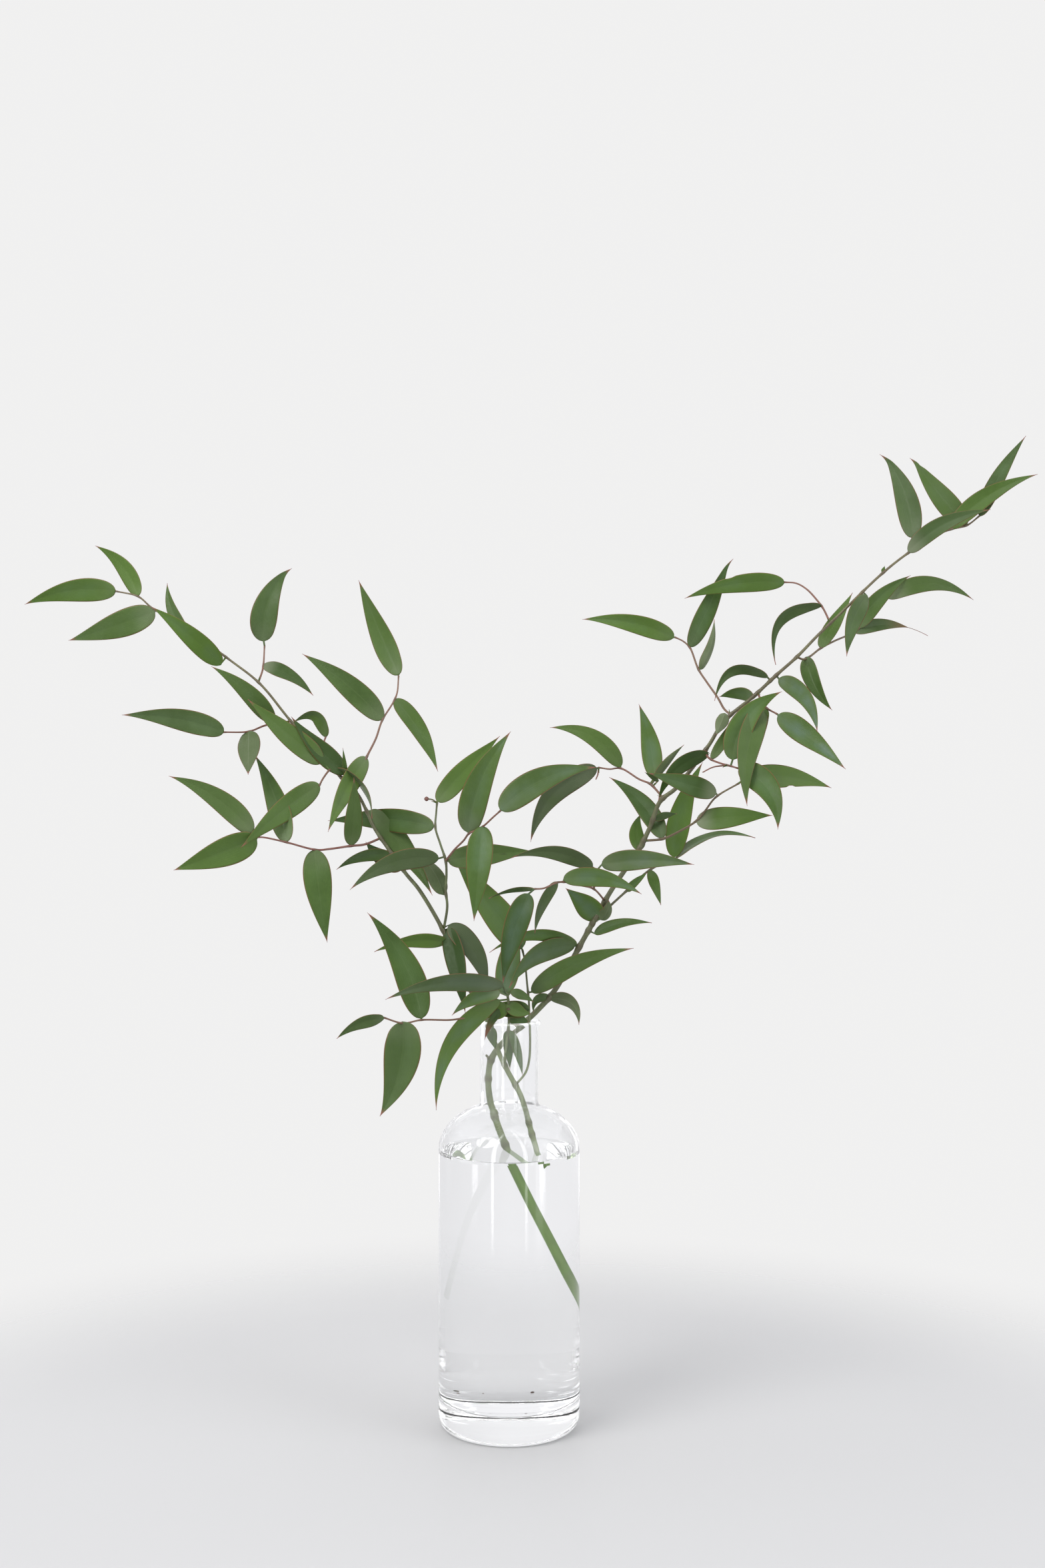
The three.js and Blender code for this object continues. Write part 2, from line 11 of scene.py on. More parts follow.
import bpy
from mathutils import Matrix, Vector

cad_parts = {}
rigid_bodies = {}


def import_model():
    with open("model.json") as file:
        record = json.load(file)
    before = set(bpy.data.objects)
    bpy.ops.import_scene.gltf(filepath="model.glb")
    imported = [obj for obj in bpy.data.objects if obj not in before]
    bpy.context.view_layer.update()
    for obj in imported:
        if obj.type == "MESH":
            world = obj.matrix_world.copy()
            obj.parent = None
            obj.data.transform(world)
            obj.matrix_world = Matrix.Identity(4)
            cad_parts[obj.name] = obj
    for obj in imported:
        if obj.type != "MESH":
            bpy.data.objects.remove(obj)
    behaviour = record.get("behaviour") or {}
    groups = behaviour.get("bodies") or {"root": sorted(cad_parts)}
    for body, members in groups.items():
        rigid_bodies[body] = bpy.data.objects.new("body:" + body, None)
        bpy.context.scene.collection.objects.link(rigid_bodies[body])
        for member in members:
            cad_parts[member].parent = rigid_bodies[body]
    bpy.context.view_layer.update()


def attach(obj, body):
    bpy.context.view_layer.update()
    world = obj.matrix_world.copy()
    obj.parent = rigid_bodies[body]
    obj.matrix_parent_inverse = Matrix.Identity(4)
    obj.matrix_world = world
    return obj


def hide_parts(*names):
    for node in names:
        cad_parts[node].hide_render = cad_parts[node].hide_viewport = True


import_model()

METRE = 0.001

# Bottle
BODY_RADIUS = 45.0
WALL = 2.6
INNER_RADIUS = BODY_RADIUS - WALL
FOOT_RADIUS = 40.0
HEEL_HEIGHT = 9.0
FLOOR_THICKNESS = 17.0
INNER_HEEL = 8.0
SHOULDER_START = 176.0
SHOULDER_RISE = 30.0
NECK_RADIUS = 18.5
NECK_WALL = 1.8
BOTTLE_HEIGHT = 257.5
BOTTLE_SIDES = 144

# Lip, and the soft edges where the neck meets shoulder and lip. The shoulder gap is in degrees.
LIP_RADIUS = 20.0
LIP_HEIGHT = 4.0
LIP_EDGE = 1.5
LIP_FLARE = 0.3
LIP_FLARE_DROP = 0.4
NECK_EDGE = 2.4
SHOULDER_GAP = 2.0
OUTER_FLARE = 0.25
INNER_FLARE = 0.3

# The slight hollow of the underside and dome of the floor: radius and rise
UNDERSIDE = [(0.0, 0.6), (FOOT_RADIUS - 8, 0.4), (FOOT_RADIUS - 3, 0.0)]
FLOOR_DOME = [(INNER_RADIUS - 2 * INNER_HEEL, 0.25), (12.0, 1.0), (0.0, 1.2)]

# How the inside of the glass strays from a circle: reach, waves all round, and a wave's height and start
STRAYS = [(0.16, 3, 31.0, 0.0), (0.1, 5, -47.0, 1.0)]

# Water. The rim that it draws up at the glass waves a little: reach, waves all round and start.
WATER_LEVEL = 174.0
WATER_GAP = 0.6
WATER_LIFT = 1.5
MENISCUS_RISE = 1.4
MENISCUS_REACH = 1.6
MENISCUS_WAVE = (0.12, 4, 0.6)
SURFACE_RINGS = 40
RING_CROWDING = 1.6

# How strongly clear things bend light. The dry wall has air on both sides, so it bends light weakly. The
# surface of the water bends it less than water would, so that less is thrown back.
GLASS_IOR = 1.45
DRY_IOR = 1.1
WATER_IOR = 1.33
SURFACE_IOR = 1.25

# Tint of clear things, and their glow: a faint painted light that glass and water give off themselves,
# which brightens them where they would look too dark. The lip glows most, a painted highlight that makes it
# a white rim.
GLASS_TINT = (0.988, 0.991, 0.992)
DRY_PAINTED_GLOW = 0.015
WET_PAINTED_GLOW = 0.013
THICK_PAINTED_GLOW = 0.001
LIP_PAINTED_GLOW = 0.16

# The branches are laid out as they look from a viewpoint in front of the bottle. A place is
# [x, z, depth]: x and z are where it seems to lie on the upright plane through the bottle's axis,
# and depth is how far behind that plane it really is. Negative depths come towards the front.
VIEWPOINT = Vector((8.5, -1150.0, 408.0))

# Seeded draws: one stream for the form of each leaf, one for fine detail
DRAW_SEED = 4271
FINE_SEED = 9133
DRAW_FACTOR = 48271
DRAW_RANGE = 2147483647

# Leaves. A share is a part of the leaf's length, and a half is half a width.
BLADE_THICKNESS = 0.5
PETIOLE_HALF = 0.6
PETIOLE_THICKNESS = 1.0
PETIOLE_STEPS = 4
PETIOLE_SHARE = 0.1
OPENING_SHARE = 0.15
TIP_HALF = 0.12
BLADE_STEPS = 34
BLADE_COLUMNS = 14
BLADE_RISE = 0.5
BLADE_FALL = 1.2
END_CROWDING = 0.6
LEAST_SHOWN = 0.3
EDGE_THINNING = 0.65
RIB_SINK = 0.1
RIB_DEPTH = 0.25
FOLD_LEAST = 0.08
FOLD_MOST = 0.3
FOLD_CURVE = 1.2
ARCH_SHARE = 0.1
TWIST = 0.25
WAVE_LEAST = 0.028
WAVE_MOST = 0.098
WAVES = 1.4
WAVE_SHIFTS = (0.0, 2.1)
HOOK_START = 0.84
HOOK_TURN = 0.25
BITE_REACH = 0.035
SPOT_REACH = (0.035, 0.16)
UNWAVED = (0.0, 0.0)

# The usual look of a leaf
USUAL_TONE = 0.2
TONE_SPREAD = 0.35
PALE_MOST = 0.3
# The usual amount of painted sheen, a blue-grey reflection painted into the colour
PAINTED_SHEEN_MEAN = 0.1
DULL_MEAN = 0.15
DULL_TURNS = 2.7

# Stems
STEM_SIDES = 14
FINE_STEPS = 20
THINNING = 1.2
CUT_SLANT = 0.9
PALE_REACH = 50.0
KNOT_SWELL = 0.3
KNOT_REACH = 2.0
RIDGES = 4
RIDGE_SHARE = 0.05
END_ROUNDING = 0.6

# Scales at the knots
BRACT_LENGTH = 3.2
BRACT_HALF = 0.9
BRACT_TIP_HALF = 0.08
BRACT_THICKNESS = 0.35
BRACT_FOLD = -0.5
BRACT_PALE = 3.0
BRACT_STEPS = 5
BRACT_START = 0.5
BRACT_FLARE = 1.6
BRACT_SUNK_SHARE = 0.15

# Buds and other small lumps
BUD_RADIUS = 1.5
BUD_TIP = 0.1
BUD_STEPS = 8
BUD_RIDGES = 3
BUD_RIDGE_SHARE = 0.08
BEAD_STEPS = 8
BEAD_SIDES = 10

# Camera and floor
LENS = 41.4
SENSOR = 36.0
FLOOR_FORWARD = 120.0
FLOOR_RINGS = (100.0, 250.0, 400.0, 620.0)
FLOOR_SIDES = 96
FLOOR_FADE = (340.0, 620.0)

# How often light may cross glass, and be reflected in it, before it is dropped
CROSSINGS = 32
REFLECTIONS = 16

# Lamps: name, place, power and colour
LAMPS = [
    ("key", (-1100.0, -1000.0, 1700.0), 22.0, (1.0, 0.99, 0.97)),
    ("fill", (1400.0, -700.0, 1100.0), 7.0, (0.96, 0.98, 1.0)),
]
LAMP_AIM = (0.0, 0.0, 350.0)
LAMP_SIZE = 1200.0

# The room: its colour where it is seen, and its brightness as stops of place and value, upwards from the
# horizon and from the middle to the right
ROOM_COLOUR = (0.922, 0.92, 0.918)
ROOM_STRENGTH = 0.95
ROOM_UPWARDS = [(0.0, 0.88), (0.75, 1.0)]
ROOM_RIGHTWARDS = [(0.0, 1.0), (1.0, 0.85)]
ROOM_BLUE = 1.01

# Bright upright bands in the room: bearing from the front towards the right and half width, in degrees,
# and brightness
WINDOW_BANDS = [(-26.5, 1.4, 8.0), (28.0, 1.8, 5.0), (50.0, 5.0, 1.5)]
BAND_FADE = 1.4


def twig(name, parent, radii, path, leaves):
    """A twig: the twig it grows from, its radius at both ends, the places it passes, and its leaves.

    A leaf is [base x, base z, tip x, tip z, width, bow, reach, turn]. Bow is how far its middle bends to
    the left of the line from base to tip, reach how much further back the tip lies than the base, and turn
    how far the blade is turned about its own length, in degrees. Past 90 degrees the underside shows.
    """
    return {"name": name, "parent": parent, "radii": radii, "path": path, "leaves": leaves}


LEFT_BRANCH = [
    twig("main", None, [1.7, 0.5], [
        [18.7, 166, -4], [17.6, 174, -4], [14.4, 185, -4], [11.2, 197, -4], [7.1, 210, -4], [-1, 225, -4],
        [-8, 240, -4.5], [-12.4, 252, -4], [-16, 262.5, -4], [-24, 275, -4], [-33, 289, -3],
        [-39, 308, -2], [-57, 340, 0], [-66, 351, 2], [-78, 368, 5], [-86, 380, 7],
        [-91, 391, 9], [-97, 402, 10], [-108, 413, 12], [-124, 431, 16], [-140, 449, 19],
        [-159, 472, 23], [-178, 487, 26], [-207, 508, 30], [-228, 520.5, 31],
        [-236.5, 527.5, 32], [-251, 531, 33],
    ], [
        [-236.5, 528, -264, 560, 11, -5, 10, 25],
        [-251, 531, -309, 522.5, 15.5, -4.4, 4, 10],
        [-226, 518, -281, 499.5, 18, 1, -12, -10],
        [-184, 484, -228, 521, 13.5, -2, -26, 15],
        [-205, 505, -218, 536, 8, 3.5, 16, 30],
        [-104, 415, -139, 451, 13, 2, -12, -20],
        [-104, 412, -106, 431, 3, 0, -6, 0],
        [-110.5, 417.5, -87.5, 386, 4, 7, -12, 112],
        [-89, 391, -49, 337, 15, 3, -18, 10],
        [-68, 354, -91.5, 371, 13, 2, 22, -25],
        [-76, 363, -110, 353.5, 8, -4, 12, 30],
        [-39.5, 307, -86, 301, 9, -4, -14, 25],
        [-39, 316, -28, 262, 13, 1, -22, -20],
        [-38.5, 318, -14, 276, 14, 5, -12, 25],
        [-12.5, 254, -8.5, 238.5, 7, 0, -3, 0],
    ]),
    twig("twig_a", "main", [0.7, 0.5], [[-159, 473, 23], [-157, 482, 34], [-156, 496, 42]], [
        [-156.5, 499, -140, 546, 17.5, 6, 8, 10],
        [-157, 483.5, -125, 464.5, 9, 3, -9, 40],
    ]),
    twig("twig_b", "main", [0.7, 0.5], [
        [-140, 448, 19], [-155, 445.5, 8], [-166, 441.5, -2], [-182, 441, -14],
    ], [
        [-182, 441, -247, 452, 14.5, -3, -15, -10],
        [-166, 441.5, -166.5, 414, 14, 0, -42, 165],
        [-150.5, 447, -190, 483, 12, -3.5, -12, 15],
    ]),
    twig("twig_x", "main", [0.7, 0.5], [
        [-112, 418, 13], [-115, 416.5, 6], [-119, 411, -6], [-121, 407, -14],
    ], [
        [-121, 407.5, -171, 367.5, 15, -1.5, -48, 10],
        [-119, 422, -166.5, 462, 15, 1, -10, -15],
    ]),
    twig("twig_y", "main", [0.7, 0.5], [[-122, 429, 16], [-119, 433, 20], [-117, 438, 23]], [
        [-117, 438, -138, 447, 8, -10, 6, 35],
    ]),
    twig("twig_c", "main", [0.8, 0.5], [
        [-84, 372, 6], [-92, 369.5, -2], [-101, 368.5, -8], [-115, 366.5, -18], [-123, 366, -24],
        [-142, 370.8, -36], [-157, 374, -46], [-161, 374, -48],
    ], [
        [-101, 369, -99, 412, 11.5, -1, -12, -15],
        [-124, 366, -116, 307, 17.5, -0.8, -10, 0],
        [-142, 371, -162.5, 427, 14, -3, 34, 15],
        [-164, 377, -217, 413, 14, -5, 4, -10],
        [-161, 373, -214, 353, 18, 0.5, -8, 10],
    ]),
    twig("twig_d", "main", [0.8, 0.5], [
        [-100, 408, 11], [-95, 417, 18], [-90, 427, 24], [-85, 437, 30], [-81, 448.5, 36],
        [-74, 460, 42], [-71.5, 466, 44], [-70.5, 477, 48],
    ], [
        [-81, 449, -132, 491, 16, -3, 10, -10],
        [-70.5, 477.5, -96, 538, 15, 0.5, 8, 10],
        [-73, 462, -45.5, 416, 12, 3, -12, 25],
        [-91, 425, -115.5, 377.5, 13, -2, -62, 10],
    ]),
    twig("shoot_e", "main", [0.8, 0.6], [
        [-38, 317, -2], [-39.5, 330, -6], [-40.5, 340, -8], [-40, 350, -11], [-40.5, 359, -14],
        [-44, 370, -14], [-47, 380, -12], [-46.5, 390, -10], [-46, 396, -9],
    ], [
        [-42.5, 337.5, -62, 364, 11, -4, 3, 160],
        [-45, 360.5, -101.5, 340.5, 13, -7, -26, 10],
        [-48, 381, -115.5, 384.5, 15.5, -3, 46, 10],
        [-46, 397, -6, 438.5, 14, 1, 18, -15],
        [-39, 359, 16, 365, 15, 1, 14, 10],
    ]),
    twig("bud_stalk", "shoot_e", [0.5, 0.5], [[-46, 396, -9], [-49, 398, -10], [-52, 398.5, -11]], []),
    twig("twig_f", "shoot_e", [0.65, 0.5], [
        [-40.5, 359, -14], [-35, 366, -24], [-29, 372, -36], [-25.5, 376.5, -44], [-20, 379, -50],
        [-16, 381.5, -56], [-10, 387, -64], [-5.5, 391, -70],
    ], [
        [-26, 377, 1, 441.5, 17.5, 5, -10, 10],
        [-17, 381, -22.5, 320.5, 16, 0, -14, -10],
        [-5.5, 391.3, 55.7, 418.6, 17, 6.5, 4, 10],
    ]),
    twig("shoot_g", "main", [0.7, 0.6], [
        [6.3, 217.6, -4], [10.4, 224, -5], [12.6, 232, -5], [13.2, 243.5, -4], [13, 254, -3],
        [12.5, 270, 0], [11.5, 280, 1], [10, 295, 2], [8.5, 302, 2],
    ], [
        [8, 303, -35, 360, 20, -0.5, 8, -10],
        [14.4, 275.4, 79.4, 303.2, 13, 5, -34, 10],
    ]),
    twig("mouth_shoot", "main", [0.9, 0.7], [
        [-3, 229, -4], [-2, 240, -8], [-0.5, 252, -10.5], [0, 259, -13], [0, 265, -18], [-1, 273, -27],
    ], [
        [-4, 279, -79, 270.5, 11, -6, -62, 15],
        [-6, 275, -36.5, 260.5, 10, -3, -20, -20],
        [-6, 270, -46.5, 200, 12, -12.5, -30, 15],
        [-4, 265, -15.5, 245, 5, -2, -8, 0],
        [-3, 274, 6, 322, 15, 1, 40, 0],
        [1, 275, 15.5, 269, 6, 1, 5, 20],
        [-1, 268, 14, 261.5, 9, -1.5, 4, 0],
        [-2, 267, -18.5, 261, 11, 1.5, 4, 0],
        [-1, 251, 0.5, 226, 7, 0, 1, 0],
        [0.5, 251, 8.5, 222, 6, 1, 2, 0],
        [0.5, 259, 12.5, 256.5, 9, 0, 5, 0],
        [13, 264, -18, 265.5, 11, 0.5, 6, -10],
    ]),
    twig("twig_h", "mouth_shoot", [0.65, 0.5], [
        [0, 262, -16], [-14, 260.5, -21.5], [-30, 258.5, -30.5], [-38, 257.5, -42], [-56, 257.5, -62],
        [-68, 255.5, -74], [-80, 259, -84],
    ], [
        [-56, 258.5, -90.5, 326, 18, -6, 10, 10],
        [-68, 256.5, -82.5, 196, 22, 5, -8, 0],
        [-80, 258.5, -110, 245.5, 7, -3, -12, 30],
    ]),
]

RIGHT_BRANCH = [
    twig("main", None, [2.3, 0.5], [
        [35.5, 66, 14.5], [26.7, 93, 11.7], [18.7, 118, 9], [10.3, 142, 6.5], [2.2, 165, 4.5], [-1, 174, 4],
        [-5, 184, 4], [-9, 195, 4], [-12, 205, 4], [-13.5, 218, 4], [-12, 231, 5], [-7.5, 239, 5],
        [-0.5, 246.5, 5], [8.8, 255, 4.5], [18, 263.7, 5], [28.4, 275.5, 6], [44.9, 304.5, 8],
        [53, 319, 7], [65, 340, 6], [83, 367, 4], [89.6, 380, 3], [96.4, 397, 0], [106, 405, -2],
        [115, 416, -4], [127.5, 433, -6], [137, 448, -8], [156, 464, -11], [171, 478, -12],
        [183.4, 489, -12], [197, 503, -12], [210.5, 516, -12], [237.6, 542, -11],
        [254, 555, -10], [273, 567, -9], [282, 570.5, -9], [292, 573, -8], [300, 579, -8],
    ], [
        [42, 305, 0, 278, 13, -8, -41, 15],
        [43, 305.5, -12.5, 300.5, 8, -9, -45, 30],
        [26, 271, 44.5, 254.4, 8, 7, -12, 150],
        [25.5, 272, 15.5, 262, 5.5, -4.5, -12, 10],
        [54.4, 312.7, 91, 319.4, 7, 3, -10, 35],
        [58, 321.5, 36, 341.5, 15, -1, -16, 20],
        [58.5, 321.5, 63.5, 334, 7.5, -1.5, -8, 150],
        [84, 366, 84, 389, 10, 3, 14, -20],
        [93, 385, 107, 389, 5, 1, 12, 20],
        [155.8, 464, 134, 463.5, 8, -2, 20, 30],
        [137.5, 453, 132, 439, 8, 0, -10, 165],
        [164.8, 476, 131, 461, 6.5, -13, -10, 40],
        [172, 475, 196.5, 441, 11, 6, -40, 10],
        [228, 528.5, 215.3, 489.5, 11, -3, -20, 20],
        [238, 543, 239.5, 547, 2.4, 0, 1, 0],
        [257.5, 565, 238.5, 619, 15, -4.5, 24, 10],
        [291.5, 573, 256.8, 617, 14, 1.5, 16, -10],
        [300.5, 579, 329.5, 630, 10, 2, 8, 20],
        [282, 571, 337, 605.5, 12, 5, -12, 15],
        [254.6, 556, 307, 583, 11, 5, -25, 20],
    ]),
    twig("nub", "main", [1, 0.8], [[-12.5, 232, 5], [-14.9, 235, 4]], []),
    twig("twig_j", "main", [0.8, 0.55], [
        [91.6, 369, 3], [97.7, 373, 0], [107, 377, -6], [119.4, 384.5, -14], [125, 391, -18],
        [131.6, 399.4, -22], [146.5, 408.5, -30],
    ], [
        [97.7, 373.6, 63.8, 412.3, 13, -4.5, 22, -10],
        [119.4, 384, 168, 388, 14, 1, -12, 10],
        [132, 402, 89, 415, 13, 0, -14, -15],
        [150, 411, 205.5, 405.5, 15, 4, 16, 10],
    ]),
    twig("twig_p", "main", [0.8, 0.55], [
        [54, 319, 7], [62, 328, 8], [75, 340, 10], [88, 352, 14], [98, 357.5, 17], [107, 361, 20],
    ], [
        [90, 353, 96.8, 330.7, 7, 0, -10, 20],
        [75, 340, 88, 351.5, 5, 0, -8, 30],
        [105, 361.5, 123.5, 422, 15, 4, 12, -10],
        [107, 361, 157, 373.6, 5, 8, 14, 65],
    ]),
    twig("twig_q", "main", [0.65, 0.5], [
        [60, 334, 6], [54, 341, -8], [45, 343.5, -22], [35, 345.5, -40], [30, 345, -46], [22, 341.5, -54],
        [16, 341, -60],
    ], [
        [30.6, 345.5, 16.4, 312.7, 6.5, -3, -2, 30],
        [34.7, 347, 84.5, 337.7, 12, 5, -6, 10],
        [12.5, 338, -4, 281, 15, -2, 5, -10],
        [16, 341, -13, 335, 3, -2, 12, 40],
    ]),
    twig("twig_r", "twig_q", [0.6, 0.5], [[54, 341, -8], [55, 347, -16], [56, 353, -24]], [
        [53, 355, 1.5, 361, 10, -6.5, -18, 20],
        [59, 356.5, 118, 356.5, 13, 3, -20, 10],
    ]),
    twig("twig_s", "main", [0.75, 0.5], [
        [98, 399, 0], [94, 404, 6], [90, 408, 10], [83, 411, 16], [71, 418, 26], [64, 417.5, 30],
        [57, 418.5, 34],
    ], [
        [56, 418, 13.7, 371, 15, -10, 6, 10],
        [71, 419, 26, 444, 12, -8, 8, -10],
        [92.5, 412, 82.7, 459, 13, -2, 8, 10],
        [93, 411, 111.5, 433, 5, 1, -8, 150],
        [95, 410, 86.5, 415.5, 3, 0, -10, 0],
    ]),
    twig("curl_s", "twig_s", [0.5, 0.4], [[57, 418.5, 34], [56.5, 414, 34], [55.3, 411, 33]], []),
    twig("twig_t", "main", [0.7, 0.5], [
        [125, 430, -6], [126.5, 425.5, -12], [129, 423.5, -15], [137, 420.5, -26], [141, 419.5, -31],
        [146, 418, -38],
    ], [
        [127, 427, 95, 397, 10, -7, -12, 15],
        [129, 424, 154, 463.5, 7, -1, 9, 25],
        [142.5, 423.5, 174, 467, 16, 8, 4, 10],
        [146.5, 418.5, 171.3, 379, 16, 8, -22, 10],
    ]),
    twig("curl_t", "twig_t", [0.5, 0.4], [[139, 420, -28], [130, 418.7, -32], [123.5, 415.5, -34]], []),
    twig("twig_u", "main", [0.7, 0.5], [[159, 466, -11], [163, 457.5, -20], [171, 452.5, -30]], [
        [162, 459, 151.8, 394, 15, -5, -34, 10],
        [164, 456, 156, 421, 8, -1, 8, -20],
        [171.5, 452, 214.5, 417.5, 14, 1, -26, 10],
    ]),
    twig("twig_k", "main", [0.75, 0.5], [
        [141, 452, -8], [137, 456, 0], [133, 463, 8], [126, 473, 20], [120.6, 481.3, 28], [115.2, 495, 38],
        [111, 499, 42], [105.7, 501.6, 46],
    ], [
        [105, 501.5, 46.7, 513, 13, -4, 10, 10],
        [115.2, 495.5, 141, 552.5, 12.5, -0.5, 6, -10],
        [121.3, 481.3, 130.7, 513, 6, -3, 14, 145],
    ]),
    twig("twig_m", "main", [0.65, 0.5], [
        [204, 511, -12], [200.5, 519.5, -4], [196.5, 525, 4], [190, 532, 12], [183, 536, 20],
        [175.5, 536.7, 26],
    ], [
        [175.5, 536.5, 111.8, 526.3, 12.5, -4, 14, 10],
        [199, 521.5, 170, 484, 7, -15, -26, 40],
    ]),
    twig("twig_n", "main", [0.7, 0.5], [
        [184, 489, -12], [188, 487.5, -6], [192, 489.5, -2], [198.5, 494.5, 4], [207, 499, 10],
        [221, 505.7, 18], [231, 516, 22], [241, 526, 26],
    ], [
        [189.5, 489, 206, 455, 10.5, -3, -16, -10],
        [198.5, 495, 219, 530, 9.5, 0, 12, 20],
        [219.5, 505, 267, 502.5, 9, 6, 10, 20],
        [241.5, 526.5, 296, 525.4, 11, 10, 5, 15],
        [222, 507.5, 256, 541, 11, 4, 8, -20],
    ]),
]

# Single leaves that differ from the rest, by the place of their base. Tone goes from -1 for a dark leaf to
# 1 for a bright one. A high tone is partly painted light: it brightens leaves that are lit from behind, and
# leaves that lie in shade. Pale, the painted sheen, dull and red are 0 to 1: a pale base, a blue-grey sheen
# painted in as a reflection of the room, a greyer green and a red outer end. Hook is how far the tip bends
# to the left. A bite is a gap in the right edge, given by its share of the length and its depth. A spot is
# a dark mark, given by its share of the length and its place across, from -1 to 1. A tail is the share of
# the length past which a blade is a thread.
LEAF_LOOKS = {
    (-104, 415): {"tone_and_painted_light": -0.4},
    (-68, 354): {"tone_and_painted_light": -0.7},
    (-39, 316): {"tone_and_painted_light": -0.8},
    (56, 418): {"dull": 0.8},
    (127, 427): {"tone_and_painted_light": -0.7},
    (-38.5, 318): {"tone_and_painted_light": -0.3, "dull": 0.8},
    (-42.5, 337.5): {"tone_and_painted_light": -0.75},
    (-166, 441.5): {"tone_and_painted_light": -0.45},
    (-45, 360.5): {"dull": 0.6},
    (13, 264): {"tone_and_painted_light": 0.4, "dull": 0.0},
    (0.5, 259): {"tone_and_painted_light": -0.5, "dull": 0.0},
    (-117, 438): {"tone_and_painted_light": 0.6},
    (-2, 267): {"tone_and_painted_light": 0.7, "dull": 0.0},
    (-1, 268): {"tone_and_painted_light": 0.6, "dull": 0.3},
    (150, 411): {"tone_and_painted_light": 1.0, "bite": (0.52, 0.22)},
    (105, 361.5): {"tone_and_painted_light": 1.0},
    (164, 456): {"tone_and_painted_light": 1.0},
    (-46, 397): {"tone_and_painted_light": 1.0},
    (8, 303): {"tone_and_painted_light": 0.8, "painted_sheen": 0.3},
    (-184, 484): {"tone_and_painted_light": 1.0},
    (-236.5, 528): {"tone_and_painted_light": 1.0},
    (-91, 425): {"tone_and_painted_light": 0.8},
    (105, 501.5): {"tone_and_painted_light": 0.8},
    (-39.5, 307): {"tone_and_painted_light": 0.9},
    (-119, 422): {"tone_and_painted_light": 0.7},
    (-251, 531): {"tone_and_painted_light": 0.8},
    (71, 419): {"tone_and_painted_light": 0.7},
    (58, 321.5): {"tone_and_painted_light": 1.0, "painted_sheen": 0.5},
    (-3, 274): {"tone_and_painted_light": 0.6, "painted_sheen": 0.7},
    (-6, 270): {"tone_and_painted_light": 0.7, "painted_sheen": 0.4},
    (92.5, 412): {"tone_and_painted_light": 0.5, "painted_sheen": 0.4},
    (-70.5, 477.5): {"tone_and_painted_light": 0.35},
    (-156.5, 499): {"tone_and_painted_light": 0.35, "hook": -1.6},
    (-17, 381): {"painted_sheen": 0.35},
    (-26, 377): {"painted_sheen": 0.3},
    (-5.5, 391.3): {"painted_sheen": 0.45},
    (172, 475): {"painted_sheen": 0.8},
    (12.5, 338): {"tone_and_painted_light": -0.3, "painted_sheen": 1.0},
    (59, 356.5): {"painted_sheen": 0.6, "dull": 0.5},
    (171.5, 452): {"painted_sheen": 0.8},
    (34.7, 347): {"tone_and_painted_light": 0.7, "painted_sheen": 0.5, "dull": 0.2},
    (53, 355): {"dull": 0.6},
    (30.6, 345.5): {"dull": 0.7},
    (58.5, 321.5): {"tone_and_painted_light": 0.5},
    (42, 305): {"painted_sheen": 0.5, "dull": 0.4},
    (-4, 279): {"painted_sheen": 0.5, "dull": 0.55},
    (-6, 275): {"tone_and_painted_light": 0.6, "painted_sheen": 0.5, "dull": 0.3, "pale": 0.4},
    (142.5, 423.5): {"painted_sheen": 0.25},
    (-157, 483.5): {"tone_and_painted_light": -0.3, "pale": 0.9},
    (119.4, 384): {"pale": 0.9},
    (132, 402): {"pale": 0.7},
    (254.6, 556): {"pale": 0.8},
    (241.5, 526.5): {"pale": 0.6},
    (107, 361): {"tone_and_painted_light": 0.6, "pale": 0.8},
    (-4, 265): {"tone_and_painted_light": -0.5, "red": 0.75},
    (-39, 359): {"spot": (0.64, 0.1)},
    (291.5, 573): {"hook": 1.8, "bite": (0.86, 0.3)},
    (257.5, 565): {"hook": 2.4},
    (115.2, 495.5): {"hook": -2.2},
    (175.5, 536.5): {"tone_and_painted_light": 0.9, "bite": (0.52, 0.16)},
    (219.5, 505): {"tail": 0.74, "red": 0.8},
    (26, 271): {"pale": 0.5},
}

# How red each side twig is, where it isn't as red as most
TWIG_RED = {
    "shoot_e": 0.05,
    "bud_stalk": 0.2,
    "shoot_g": 0.05,
    "mouth_shoot": 0.0,
    "nub": 0.3,
    "twig_p": 0.15,
    "twig_n": 0.45,
    "twig_j": 0.4,
}

# Knots without twig or leaf on the two main stems
BARE_KNOTS = [[-9.3, 196, 4], [-13.6, 220, 4], [-2.8, 178, 4], [12.6, 192, -4], [14.6, 184.5, -4]]

# A bud at the end of its stalk, and a withered one at the mouth
BUD_PLACE = [-52.7, 398.5, -11]
WITHERED_BUD = [-0.5, 264.5, -22.5]
WITHERED_RADII = (1.1, 1.0, 0.8)

# Crumbs of bark on the bottle's floor: x, y and size
CRUMBS = [[-15.0, 29.0, 0.6], [-16.0, 24.0, 0.5], [-8.0, 30.0, 0.4], [6.5, 32.0, 0.7]]

# Drops of water on a stretch of stem: how many, and their distance from its middle
SPLASHED_STEM = [[-3.4, 179.5, 4], [-6.6, 188, 4]]
SPLASHES = 12
SPLASH_REACH = 1.9

# Colours of leaves and stems
LEAF_DARK = (0.029, 0.06, 0.012)
LEAF_MID = (0.063, 0.118, 0.023)
# The bright green is partly painted light, for leaves lit from behind
LEAF_BRIGHT_AND_PAINTED_BACKLIGHT = (0.107, 0.195, 0.032)
LEAF_VEIN = (0.115, 0.17, 0.06)
